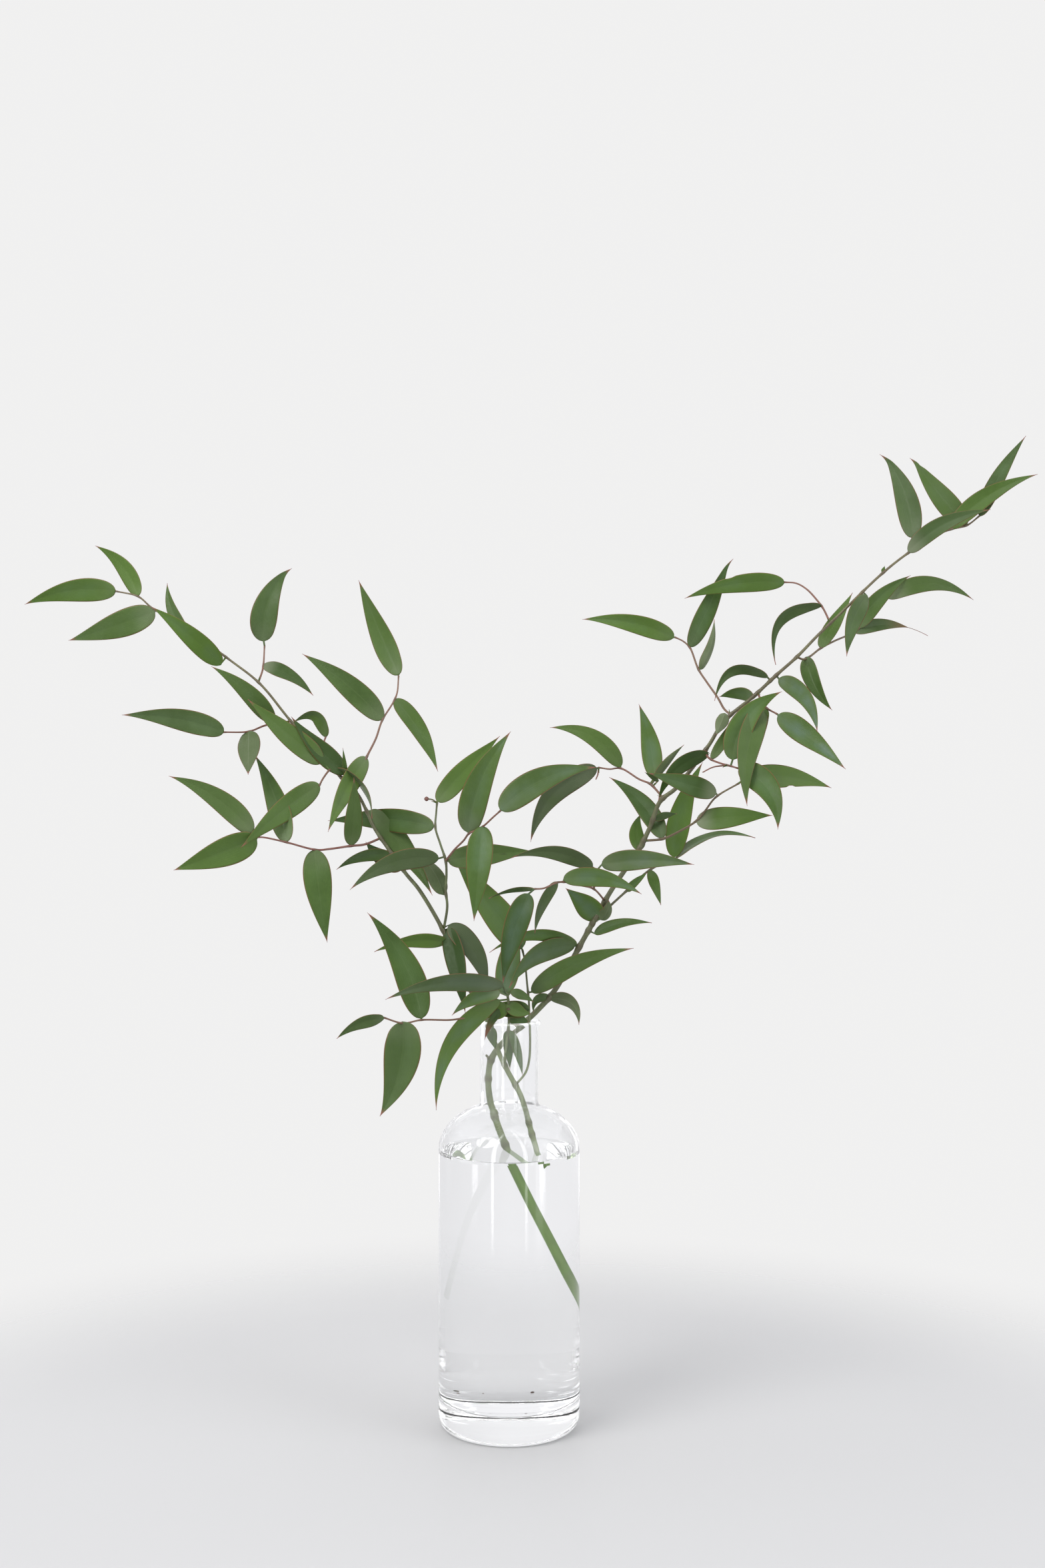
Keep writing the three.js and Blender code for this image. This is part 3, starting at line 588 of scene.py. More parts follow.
# Painted sheen: the blue-grey of light reflected from the room
LEAF_PAINTED_SHEEN = (0.105, 0.17, 0.125)
LEAF_DULL = (0.076, 0.096, 0.055)
LEAF_UNDER = (0.1, 0.138, 0.058)
LEAF_BASE = (0.24, 0.27, 0.18)
LEAF_EDGE = (0.21, 0.085, 0.045)
LEAF_TIP = (0.27, 0.085, 0.075)
LEAF_SPOT = (0.012, 0.014, 0.006)
LEAF_SHEEN = (0.75, 0.88, 1.0)
STEM_GREEN = (0.13, 0.17, 0.075)
STEM_OLIVE = (0.078, 0.094, 0.042)
STEM_PALE = (0.215, 0.27, 0.125)
STEM_PINK = (0.24, 0.085, 0.075)
STEM_BROWN = (0.075, 0.05, 0.03)
STEM_WET = (0.14, 0.25, 0.05)

# A cross section of a blade. Halves and lifts are half widths and edge waves on its left and right.
Station = namedtuple("Station", "point along halves angle lifts share")


def seen(place):
    """The real point of a place as it looks from the viewpoint."""
    x, z, depth = place
    ratio = (depth - VIEWPOINT.y) / -VIEWPOINT.y
    return VIEWPOINT + (Vector((x, 0.0, z)) - VIEWPOINT) * ratio


def lerp(start, end, share):
    """A number on the way from start to end."""
    return start + (end - start) * share


def drawing(seed):
    """Seeded draws from 0 to 1, so that every run is alike."""
    state = seed
    while True:
        state = (state * DRAW_FACTOR) % DRAW_RANGE
        yield state / DRAW_RANGE


def between(draws, least, most):
    """The next draw, as a number from least to most."""
    return lerp(least, most, next(draws))


def circle(sides):
    """Angles all round, in even steps."""
    return [2 * math.pi * side / sides for side in range(sides)]


def around(radius, angle, height=0.0):
    """The point at a radius and an angle round an upright axis."""
    return Vector((radius * math.cos(angle), radius * math.sin(angle), height))


class Skin:
    """Points and faces of one mesh, with named numbers noted at every point."""

    def __init__(self, *notes):
        self.points = []
        self.faces = []
        self.slots = []
        self.notes = {note: [] for note in notes}

    def add_point(self, point, **values):
        self.points.append(point)
        for note, numbers in self.notes.items():
            numbers.append(values.get(note, 0.0))
        return len(self.points) - 1

    def add_face(self, corners, slot=0):
        self.faces.append(tuple(corners))
        self.slots.append(slot)

    def join(self, ring, following, slot=0):
        """Faces between two rings of point numbers. Where a ring is a single point, they are triangles."""
        for side in range(len(ring)):
            after = (side + 1) % len(ring)
            corners = (ring[side], ring[after], following[after], following[side])
            self.add_face(dict.fromkeys(corners), slot)

    def add_loft(self, rings):
        """Joins rings in order and closes both ends."""
        for ring, following in zip(rings, rings[1:]):
            self.join(ring, following)
        self.add_face(reversed(rings[0]))
        self.add_face(rings[-1])

    def finish(self, name, materials):
        mesh = bpy.data.meshes.new(name)
        mesh.from_pydata([point * METRE for point in self.points], [], self.faces)
        for material in materials:
            mesh.materials.append(material)
        mesh.polygons.foreach_set("material_index", self.slots)
        mesh.polygons.foreach_set("use_smooth", [True] * len(self.faces))
        for note, numbers in self.notes.items():
            mesh.attributes.new(note, "FLOAT", "POINT").data.foreach_set("value", numbers)
        mesh.update()
        piece = bpy.data.objects.new(name, mesh)
        bpy.context.scene.collection.objects.link(piece)
        return piece


def smooth_line(places):
    """Many places along a smooth curve through the given ones."""
    points = [Vector(place) for place in places]
    ahead = points[0] * 2 - points[1]
    behind = points[-1] * 2 - points[-2]
    knots = [ahead, *points, behind]
    line = []
    for before, start, end, after in zip(knots, knots[1:], knots[2:], knots[3:]):
        span = (end - start).length ** 0.5
        span_before = (start - before).length ** 0.5
        span_after = (after - end).length ** 0.5
        leave = (start - before) / span_before - (end - before) / (span_before + span)
        leave = (leave + (end - start) / span) * span
        arrive = (end - start) / span - (after - start) / (span + span_after)
        arrive = (arrive + (after - end) / span_after) * span
        square = (end - start) * 3 - leave * 2 - arrive
        cube = (start - end) * 2 + leave + arrive
        for step in range(FINE_STEPS):
            share = step / FINE_STEPS
            line.append(start + leave * share + square * share ** 2 + cube * share ** 3)
    line.append(points[-1])
    return line


def nearest_place(line, x, z):
    """The place on a line that looks nearest to x and z."""
    return min(line, key=lambda place: math.hypot(place[0] - x, place[1] - z))


def blade_shape(share):
    """The part of its full width that a blade has at a share of its length."""
    widest = BLADE_RISE / (BLADE_RISE + BLADE_FALL)
    most = widest ** BLADE_RISE * (1 - widest) ** BLADE_FALL
    return share ** BLADE_RISE * (1 - share) ** BLADE_FALL / most


def spot_strength(spot, share, u):
    """How dark a leaf's spot, if it has one, makes it here."""
    if not spot:
        return 0.0
    return max(0.0, 1 - math.hypot((share - spot[0]) / SPOT_REACH[0], (u - spot[1]) / SPOT_REACH[1]))


def add_blade(skin, stations, to_face, fold, thickness, notes, spot=None):
    """A closed blade through stations, folded along its rib, with its upper side towards to_face."""
    columns = [2 * column / BLADE_COLUMNS - 1 for column in range(BLADE_COLUMNS + 1)]
    rings = []
    for at in stations:
        flat = at.along.cross(to_face).normalized()
        facing = flat.cross(at.along).normalized()
        side = flat * math.cos(at.angle) + facing * math.sin(at.angle)
        normal = facing * math.cos(at.angle) - flat * math.sin(at.angle)
        opened = min(1.0, at.share / OPENING_SHARE)
        depth = lerp(PETIOLE_THICKNESS, thickness, opened) / 2
        upper = []
        lower = []
        for u in columns:
            hand = 0 if u < 0 else 1
            half = at.halves[hand]
            rise = half * opened * (math.sin(fold) * abs(u) ** FOLD_CURVE + at.lifts[hand] * u * u)
            middle = at.point + side * (u * half * math.cos(fold * opened)) + normal * rise
            rib = max(0.0, 1 - abs(u) * BLADE_COLUMNS / 2) * opened * (1 - at.share)
            edge = depth * (1 - EDGE_THINNING * abs(u) ** 3)
            shared = {"across": u, "along": at.share, "spot": spot_strength(spot, at.share, u), **notes}
            top = middle + normal * (edge - RIB_SINK * rib)
            bottom = middle - normal * (edge + RIB_DEPTH * rib)
            upper.append(skin.add_point(top, face=1.0, **shared))
            lower.append(skin.add_point(bottom, face=0.0, **shared))
        rings.append(upper + lower[::-1])
    skin.add_loft(rings)


def leaf_notes(looks, phase, fine):
    """The looks of one leaf, drawn where none are given."""
    return {
        "tone_and_painted_light": looks.get("tone_and_painted_light", USUAL_TONE) + between(fine, -TONE_SPREAD, TONE_SPREAD),
        "pale": looks.get("pale", between(fine, 0.0, PALE_MOST)),
        "painted_sheen": looks.get("painted_sheen", PAINTED_SHEEN_MEAN * (1 + math.sin(phase))),
        "dull": looks.get("dull", DULL_MEAN * (1 + math.sin(DULL_TURNS * phase))),
        "red": looks.get("red", 0.0),
    }


def petiole_stations(root, base, direction, angle):
    """The stalk of a leaf, from its twig to the base of its blade, where they lie apart."""
    if (base - root).length <= PETIOLE_HALF:
        return []
    out = (base - root).normalized()
    halves = (PETIOLE_HALF, PETIOLE_HALF)
    stations = []
    for step in range(PETIOLE_STEPS):
        share = step / PETIOLE_STEPS
        along = out.lerp(direction, share).normalized()
        stations.append(Station(root.lerp(base, share), along, halves, angle, UNWAVED, 0.0))
    return stations


def add_leaf(skin, leaf, root_place, draws, fine):
    """A leaf with its stalk. Its blade follows a curve from base to tip."""
    base_x, base_z, tip_x, tip_z, width, bow, reach, turn = leaf
    looks = LEAF_LOOKS.get((base_x, base_z), {})
    fold = between(draws, FOLD_LEAST, FOLD_MOST)
    arch_share = ARCH_SHARE * between(draws, -1, 1)
    twist = between(fine, -TWIST, TWIST)
    phase = between(fine, 0, 2 * math.pi)
    wave = between(fine, WAVE_LEAST, WAVE_MOST)
    notes = leaf_notes(looks, phase, fine)
    hook = looks.get("hook", 0.0)
    tail = looks.get("tail", 1.0)
    bite_share, bite_depth = looks.get("bite", (0.5, 0.0))
    root = seen(root_place)
    base = seen((base_x, base_z, root_place[2]))
    tip = seen((tip_x, tip_z, root_place[2] + reach))
    to_viewer = (VIEWPOINT - base).normalized()
    left = Vector((base_z - tip_z, 0.0, tip_x - base_x)).normalized()
    arch = arch_share * (tip - base).length
    middle = (base + tip) / 2 + left * (2 * bow) + to_viewer * (2 * arch)
    angle = math.radians(turn)
    full_half = width / 2 / max(abs(math.cos(angle)), LEAST_SHOWN) / math.cos(fold)
    stations = petiole_stations(root, base, (middle - base).normalized(), angle)
    for step in range(BLADE_STEPS + 1):
        linear = step / BLADE_STEPS
        share = lerp(linear, (1 - math.cos(math.pi * linear)) / 2, END_CROWDING)
        point = base * (1 - share) ** 2 + middle * (2 * share * (1 - share)) + tip * share ** 2
        along = ((middle - base) * (1 - share) + (tip - middle) * share).normalized()
        bent = max(0.0, (share - HOOK_START) / (1 - HOOK_START))
        point = point + left * (hook * bent ** 2)
        along = (along + left * (hook * bent * HOOK_TURN)).normalized()
        narrow = PETIOLE_HALF * max(0.0, 1 - share / PETIOLE_SHARE)
        half = max(full_half * blade_shape(min(share / tail, 1.0)), narrow, TIP_HALF)
        bitten = half * (1 - bite_depth * math.exp(-(((share - bite_share) / BITE_REACH) ** 2)))
        lifts = [wave * math.sin(2 * math.pi * WAVES * share + phase + shift) for shift in WAVE_SHIFTS]
        turned = angle + twist * share ** 2
        stations.append(Station(point, along, (half, bitten), turned, lifts, share))
    add_blade(skin, stations, to_viewer, fold, BLADE_THICKNESS, notes, looks.get("spot"))


def stem_notes(point, share, reds):
    """How red a stem is at a point, how near to the bottle it is, and whether it is under water."""
    return {
        "pink": lerp(reds[0], reds[1], share ** 2),
        "low": min(1.0, max(0.0, 0.5 + (BOTTLE_HEIGHT - point.z) / PALE_REACH)),
        "wet": 1.0 if point.z < WATER_LEVEL - 1 else 0.0,
    }


def add_stem(skin, points, radii, knots, reds, is_cut):
    """A round stem along real points, thicker at knots. A cut one starts slanted, and others end round."""
    across = Vector((1.0, 0.0, 0.0))
    rings = []
    last = len(points) - 1
    for index, point in enumerate(points):
        along = (points[min(index + 1, last)] - points[max(index - 1, 0)]).normalized()
        across = (across - along * across.dot(along)).normalized()
        up = along.cross(across)
        share = index / last
        nearest = min(((point - knot).length for knot in knots), default=math.inf)
        swell = math.exp(-((nearest / KNOT_REACH) ** 2))
        radius = lerp(radii[0], radii[1], share ** THINNING) * (1 + KNOT_SWELL * swell)
        slant = CUT_SLANT if is_cut and index == 0 else 0.0
        notes = stem_notes(point, share, reds)
        ring = []
        for angle in circle(STEM_SIDES):
            ridge = 1 + RIDGE_SHARE * math.cos(RIDGES * angle + 2 * share)
            offset = (across * math.cos(angle) + up * math.sin(angle)) * (radius * ridge)
            offset = offset + along * (slant * radius * math.cos(angle))
            ring.append(skin.add_point(point + offset, knot=swell, **notes))
        rings.append(ring)
    if not is_cut:
        end = points[-1]
        beyond = (end - points[-2]).normalized() * (radii[1] * END_ROUNDING)
        notes = stem_notes(end, 1.0, reds)
        rounded = [end.lerp(skin.points[number], 0.5) + beyond for number in rings[-1]]
        rings.append([skin.add_point(point, **notes) for point in rounded])
    skin.add_loft(rings)


def add_bract(skin, root, along, fine):
    """A small dry scale that hugs a stem at a knot."""
    out = Vector((between(fine, -0.5, 0.5), between(fine, -0.3, -0.7), between(fine, -0.5, 0.5)))
    out = (out - along * out.dot(along)).normalized()
    length = BRACT_LENGTH * between(fine, 0.7, 1.3)
    stations = []
    for step in range(BRACT_STEPS + 1):
        share = step / BRACT_STEPS
        reach = BRACT_START + BRACT_FLARE * share ** 1.5
        point = root + out * reach + along * (length * (share - BRACT_SUNK_SHARE))
        direction = (out * (0.5 * share) + along).normalized()
        half = max(BRACT_HALF * (1 - share) ** 0.8, BRACT_TIP_HALF)
        stations.append(Station(point, direction, (half, half), 0.0, UNWAVED, lerp(0.2, 1.0, share)))
    add_blade(skin, stations, out, BRACT_FOLD, BRACT_THICKNESS, {"pale": BRACT_PALE})


def add_branch(twigs, leaf_skin, stem_skin, draws, fine):
    """Stems and leaves of one branch."""
    lines = {}
    rooted = {row["name"]: [] for row in twigs}
    for row in twigs:
        path = row["path"]
        start = path[0]
        if row["parent"]:
            start = nearest_place(lines[row["parent"]], path[0][0], path[0][1])
            rooted[row["parent"]].append(seen(start))
        lines[row["name"]] = smooth_line([start, *path[1:]])
        for leaf in row["leaves"]:
            root = nearest_place(lines[row["name"]], leaf[0], leaf[1])
            rooted[row["name"]].append(seen(root))
            add_leaf(leaf_skin, leaf, root, draws, fine)
    for row in twigs:
        points = [seen(place) for place in lines[row["name"]]]
        is_main = row["parent"] is None
        red = TWIG_RED.get(row["name"], between(fine, 0.6, 1.0))
        reds = (0.0, 0.4) if is_main else (red, red)
        knots = rooted[row["name"]]
        if is_main:
            knots = knots + [seen(place) for place in BARE_KNOTS]
        add_stem(stem_skin, points, row["radii"], knots, reds, is_main)
        if not is_main:
            start, _, place, _, ahead = points[:5]
            add_bract(leaf_skin, place, (ahead - start).normalized(), fine)


def add_bud(skin):
    """A closed flower bud with a pointed tip, on the end of its stalk."""
    centre = seen(BUD_PLACE)
    rings = []
    for step in range(BUD_STEPS + 1):
        share = step / BUD_STEPS
        radius = max(BUD_RADIUS * math.sin(math.pi * lerp(0.06, 0.96, share)) ** 0.8, BUD_TIP)
        height = lerp(-BUD_RADIUS, BUD_RADIUS, share)
        ring = []
        for angle in circle(STEM_SIDES):
            ridged = radius * (1 + BUD_RIDGE_SHARE * math.cos(BUD_RIDGES * angle))
            offset = Vector((-height, ridged * math.cos(angle), -ridged * math.sin(angle)))
            ring.append(skin.add_point(centre + offset, knot=1.0, pink=1.2))
        rings.append(ring)
    skin.add_loft(rings)


def add_bead(skin, centre, radii, **notes):
    """A small rounded lump with its own reach along each axis."""
    rings = []
    for step in range(1, BEAD_STEPS):
        polar = math.pi * step / BEAD_STEPS
        ring = []
        for angle in circle(BEAD_SIDES):
            way = (math.sin(polar) * math.cos(angle), math.sin(polar) * math.sin(angle), -math.cos(polar))
            offset = Vector([reach * part for reach, part in zip(radii, way)])
            ring.append(skin.add_point(centre + offset, **notes))
        rings.append(ring)
    skin.add_loft(rings)


def make_crumbs(material, fine):
    """Bits of bark that lie on the floor of the bottle."""
    skin = Skin("knot", "pink", "low", "wet")
    for x, y, size in CRUMBS:
        height = size * between(fine, 0.5, 0.8)
        stretch = between(fine, 0.7, 1.3)
        centre = Vector((x, y, FLOOR_THICKNESS + height))
        add_bead(skin, centre, (size * stretch, size / stretch, height), knot=1.0, pink=next(fine))
    return skin.finish("crumbs", [material])


def make_splashes(material, fine):
    """Drops of water on the stem above the water."""
    skin = Skin()
    start, end = [seen(place) for place in SPLASHED_STEM]
    for _ in range(SPLASHES):
        size = between(fine, 0.3, 0.7)
        angle = math.radians(between(fine, -95, 95))
        outward = Vector((math.sin(angle), -math.cos(angle), 0.0))
        centre = start.lerp(end, next(fine)) + outward * (SPLASH_REACH + 0.3 * size)
        add_bead(skin, centre, (size, size, 1.2 * size))
    return skin.finish("splashes", [material])


def quarter(centre_radius, centre_height, reach, rise, start, end, steps):
    """Profile points on part of an ellipse, from one angle in degrees to another."""
    points = []
    for step in range(steps + 1):
        angle = math.radians(lerp(start, end, step / steps))
        points.append((centre_radius + reach * math.cos(angle), centre_height + rise * math.sin(angle)))
    return points


def upright(radius, start, end, steps):
    """Profile points at one radius between two heights, without the ends."""
    return [(radius, lerp(start, end, step / steps)) for step in range(1, steps)]


def stray(radius, height, angle):
    """A radius of the inside of the glass, which isn't quite a circle."""
    return radius + sum(
        reach * math.sin(waves * angle + height / wave_height + start)
        for reach, waves, wave_height, start in STRAYS
    )


def water_line(angle):
    """The height that the water reaches at the glass."""
    reach, waves, start = MENISCUS_WAVE
    return WATER_LEVEL + MENISCUS_RISE + reach * math.sin(waves * angle + start)


def even(radius, height, angle):
    """A true circle, as is the outside of the bottle."""
    return radius, height


def uneven(radius, height, angle):
    """The inside of the glass."""
    return stray(radius, height, angle), height


def water_edge(radius, height, angle):
    """The line on the inside of the glass that the water reaches."""
    return stray(radius, height, angle), water_line(angle)


def water_surface(radius, height, angle):
    """The upper face of the water, which meets the uneven glass and rises there."""
    wall = stray(INNER_RADIUS, height, angle)
    reach = wall * radius / INNER_RADIUS
    rise = (water_line(angle) - WATER_LEVEL) * math.exp(-(wall - reach) / MENISCUS_REACH)
    return reach, height + rise


def turned_piece(name, materials, stretches):
    """A profile turned about the bottle's axis.

    A stretch of it is the name of its material, the form of its rings and its points of (radius, height).
    A point on the axis closes an end.
    """
    skin = Skin()
    names = list(materials)
    rings = []
    slots = []
    for material, form, points in stretches:
        for radius, height in points:
            slots.append(names.index(material))
            if radius < 1e-6:
                rings.append([skin.add_point(Vector((0.0, 0.0, height)))] * BOTTLE_SIDES)
                continue
            ring = []
            for angle in circle(BOTTLE_SIDES):
                reach, rise = form(radius, height, angle)
                ring.append(skin.add_point(around(reach, angle, rise)))
            rings.append(ring)
    for ring, following, slot in zip(rings, rings[1:], slots):
        skin.join(ring, following, slot)
    return skin.finish(name, materials.values())


def shoulder_end(reach, rise, neck_radius):
    """The angle, in degrees, and the height at which a shoulder meets its neck."""
    angle = math.acos(neck_radius / reach)
    return math.degrees(angle), SHOULDER_START + rise * math.sin(angle)


def make_bottle(materials):
    """One closed skin, from the middle of its underside over the lip to the middle of its floor."""
    bore = NECK_RADIUS - NECK_WALL
    inner_rise = SHOULDER_RISE - NECK_WALL
    heel_top = FLOOR_THICKNESS + INNER_HEEL
    lip_start = BOTTLE_HEIGHT - LIP_HEIGHT
    lip_half = (LIP_RADIUS - bore) / 2
    lip_round = ((LIP_RADIUS + bore) / 2, BOTTLE_HEIGHT - lip_half, lip_half, lip_half)
    outer_end, outer_top = shoulder_end(BODY_RADIUS, SHOULDER_RISE, NECK_RADIUS)
    inner_end, inner_top = shoulder_end(INNER_RADIUS, inner_rise, bore)

    foot = quarter(FOOT_RADIUS, HEEL_HEIGHT, BODY_RADIUS - FOOT_RADIUS, HEEL_HEIGHT, -90, 0, 12)
    body = upright(BODY_RADIUS, heel_top, WATER_LEVEL, 12)
    upper = [(BODY_RADIUS, WATER_LEVEL)]
    upper += quarter(0, SHOULDER_START, BODY_RADIUS, SHOULDER_RISE, 0, outer_end - SHOULDER_GAP, 22)
    upper += [(NECK_RADIUS + OUTER_FLARE, outer_top + NECK_EDGE / 3), (NECK_RADIUS, outer_top + NECK_EDGE)]
    upper += upright(NECK_RADIUS, outer_top + NECK_EDGE, lip_start - LIP_EDGE, 6)
    upper += [(NECK_RADIUS, lip_start - LIP_EDGE), (NECK_RADIUS + LIP_FLARE, lip_start - LIP_FLARE_DROP)]
    upper += quarter(*lip_round, -30, 0, 3)
    rim = quarter(*lip_round, 15, 180, 11)
    dry_inside = upright(bore, BOTTLE_HEIGHT - lip_half, inner_top + NECK_EDGE, 6)
    dry_inside += [(bore, inner_top + NECK_EDGE), (bore + INNER_FLARE, inner_top + NECK_EDGE / 3)]
    inner_arc = (inner_end - SHOULDER_GAP, SHOULDER_GAP)
    dry_inside += quarter(0, SHOULDER_START, INNER_RADIUS, inner_rise, *inner_arc, 20)
    wetted = upright(INNER_RADIUS, WATER_LEVEL, heel_top, 12)
    floor = quarter(INNER_RADIUS - INNER_HEEL, heel_top, INNER_HEEL, INNER_HEEL, 0, -90, 12)
    floor += [(radius, FLOOR_THICKNESS + rise) for radius, rise in FLOOR_DOME]
    return turned_piece("glass_bottle", materials, [
        ("thick", even, UNDERSIDE + foot),
        ("body", even, body),
        ("dry", even, upper),
        ("lip", even, rim[:-1]),
        ("dry", even, rim[-1:]),
        ("dry", uneven, dry_inside),
        ("wetted", water_edge, [(INNER_RADIUS, WATER_LEVEL + MENISCUS_RISE)]),
        ("wetted", uneven, wetted),
        ("under_water", uneven, floor),
    ])


def make_water(materials):
    """Water with a raised rim at the glass. Only its upper face bends light: the glass does the rest."""
    reach = INNER_RADIUS - WATER_GAP
    floor = FLOOR_THICKNESS + WATER_LIFT
    lower = [(0.0, floor)]
    lower += quarter(reach - INNER_HEEL, floor + INNER_HEEL, INNER_HEEL, INNER_HEEL, -90, 0, 8)
    lower += upright(reach, floor + INNER_HEEL, WATER_LEVEL, 4)
    shares = [(ring / SURFACE_RINGS) ** RING_CROWDING for ring in range(SURFACE_RINGS + 1)]
    surface = [(INNER_RADIUS * (1 - share), WATER_LEVEL) for share in shares]
    return turned_piece("water_body", materials, [
        ("side", even, lower),
        ("surface", water_surface, surface),
    ])


class Nodes:
    """Builds the nodes of a material or of the room."""

    def __init__(self, owner):
        owner.use_nodes = True
        self.tree = owner.node_tree

    def new(self, kind, **settings):
        node = self.tree.nodes.new(kind)
        for key, value in settings.items():
            setattr(node, key, value)
        return node

    def feed(self, socket, value):
        """Sets a socket to a number or a colour, or links it to another socket."""
        if isinstance(value, (int, float)):
            socket.default_value = value
        elif isinstance(value, tuple):
            socket.default_value = (*value, 1.0)
        else:
            self.tree.links.new(value, socket)

    def math(self, operation, *values):
        node = self.new("ShaderNodeMath", operation=operation)
        for socket, value in zip(node.inputs, values):
            self.feed(socket, value)
        return node.outputs[0]

    def times(self, first, second):
        return self.math("MULTIPLY", first, second)

    def mix(self, share, first, second, blend="MIX"):
        node = self.new("ShaderNodeMix", data_type="RGBA", blend_type=blend)
        for socket, value in zip((node.inputs[0], node.inputs[6], node.inputs[7]), (share, first, second)):
            self.feed(socket, value)
        return node.outputs[2]

    def span(self, value, low, high, to_low=0.0, to_high=1.0):
        """A smooth step from one value to another while the input goes from low to high."""
        node = self.new("ShaderNodeMapRange", interpolation_type="SMOOTHSTEP")
        self.feed(node.inputs["Value"], value)
        for key, number in (("From Min", low), ("From Max", high), ("To Min", to_low), ("To Max", to_high)):
            node.inputs[key].default_value = number
        return node.outputs["Result"]

    def ramp(self, value, stops):
        """Greys of a slightly blue cast at stops of (place, brightness)."""
        node = self.new("ShaderNodeValToRGB")
        elements = node.color_ramp.elements
        while len(elements) < len(stops):
            elements.new(0.5)
        for element, (place, grey) in zip(elements, stops):
            element.position = place
            element.color = (grey, grey, grey * ROOM_BLUE, 1.0)
        self.feed(node.inputs[0], value)
        return node.outputs[0]


class Surface(Nodes):
    """Builds the nodes of one material."""

    def __init__(self, name):
        self.material = bpy.data.materials.new(name)
        super().__init__(self.material)
        self.shader = self.tree.nodes["Principled BSDF"]
        self.place = self.new("ShaderNodeTexCoord").outputs["Object"]

    def set(self, **values):
        for key, value in values.items():
            self.feed(self.shader.inputs[key.replace("_", " ")], value)

    def note(self, name):
        return self.new("ShaderNodeAttribute", attribute_name=name).outputs["Fac"]

    def noise(self, scale, detail=3.0, stretch=(1.0, 1.0, 1.0)):
        mapping = self.new("ShaderNodeMapping")
        mapping.inputs["Scale"].default_value = stretch
        self.feed(mapping.inputs["Vector"], self.place)
        node = self.new("ShaderNodeTexNoise")
        node.inputs["Scale"].default_value = scale
        node.inputs["Detail"].default_value = detail
        self.feed(node.inputs["Vector"], mapping.outputs["Vector"])
        return node.outputs["Fac"]

    def bump(self, height, strength, distance):
        node = self.new("ShaderNodeBump")
        node.inputs["Strength"].default_value = strength
        node.inputs["Distance"].default_value = distance
        self.feed(node.inputs["Height"], height)
        self.set(Normal=node.outputs["Normal"])


def leaf_material():
    """Patchy green with long fine veins, a red edge and tip, a paler underside, painted backlight and
    painted sheen.
    """
    leaf = Surface("leaf")
    across = leaf.math("ABSOLUTE", leaf.note("across"))
    along = leaf.note("along")
    tone_and_painted_light = leaf.note("tone_and_painted_light")
    patch = leaf.noise(55.0)
    fleck = leaf.noise(420.0, 2.0)
    line = leaf.math("SINE", leaf.times(leaf.note("across"), 44.0))
    vein = leaf.times(leaf.span(line, 0.5, 1.0), leaf.span(patch, 0.35, 0.65, 0.3, 1.0))
    rib = leaf.span(across, 0.02, 0.07, 1.0, 0.0)

    # Upper side
    green = leaf.mix(leaf.span(patch, 0.25, 0.75, 0.35, 1.0), LEAF_DARK, LEAF_MID)
    # Painted light: a high tone mixes in a brighter, yellower green, as of light shining through a leaf
    # from behind
    bright = leaf.math("MULTIPLY_ADD", tone_and_painted_light, 0.8, leaf.span(fleck, 0.35, 0.75, 0.0, 0.06))
    green = leaf.mix(bright, green, LEAF_BRIGHT_AND_PAINTED_BACKLIGHT)
    green = leaf.mix(leaf.times(vein, 0.08), green, LEAF_VEIN)
    green = leaf.mix(leaf.times(rib, 0.16), green, LEAF_VEIN)
    # Painted sheen: a blue-grey reflection of the room painted into the colour, strongest along the middle
    # of the blade
    painted_sheen = leaf.times(leaf.span(across, 0.2, 0.95, 1.0, 0.0), leaf.span(patch, 0.3, 0.7))
    green = leaf.mix(leaf.times(leaf.note("painted_sheen"), painted_sheen), green, LEAF_PAINTED_SHEEN)
    dull = leaf.times(leaf.note("dull"), leaf.span(patch, 0.2, 0.6, 0.5, 1.0))
    green = leaf.mix(dull, green, LEAF_DULL)
    pale = leaf.times(leaf.note("pale"), leaf.span(along, 0.02, 0.3, 0.8, 0.0))
    green = leaf.mix(pale, green, LEAF_BASE)

    # Underside
    under = leaf.mix(leaf.span(patch, 0.3, 0.75, 0.0, 0.3), LEAF_UNDER, LEAF_BASE)
    under = leaf.mix(leaf.times(vein, 0.18), under, LEAF_BASE)
    under = leaf.mix(leaf.times(rib, 0.4), under, LEAF_BASE)

    # Both sides
    colour = leaf.mix(leaf.note("face"), under, green)
    colour = leaf.mix(leaf.times(tone_and_painted_light, -0.9), colour, LEAF_DARK)
    colour = leaf.mix(leaf.span(across, 0.92, 0.99, 0.0, 0.75), colour, LEAF_EDGE)
    colour = leaf.mix(leaf.times(leaf.note("red"), leaf.span(along, 0.35, 1.0)), colour, LEAF_TIP)
    colour = leaf.mix(leaf.span(along, 0.9, 0.99, 0.0, 0.9), colour, LEAF_TIP)
    colour = leaf.mix(leaf.note("spot"), colour, LEAF_SPOT)
    leaf.set(Base_Color=colour, Roughness=leaf.span(fleck, 0.3, 0.7, 0.34, 0.46), IOR=1.26)
    leaf.set(Sheen_Weight=0.03, Sheen_Roughness=0.4, Sheen_Tint=LEAF_SHEEN)
    leaf.bump(leaf.math("MULTIPLY_ADD", vein, 0.5, leaf.times(fleck, 0.6)), 0.22, 0.00025)
    return leaf.material


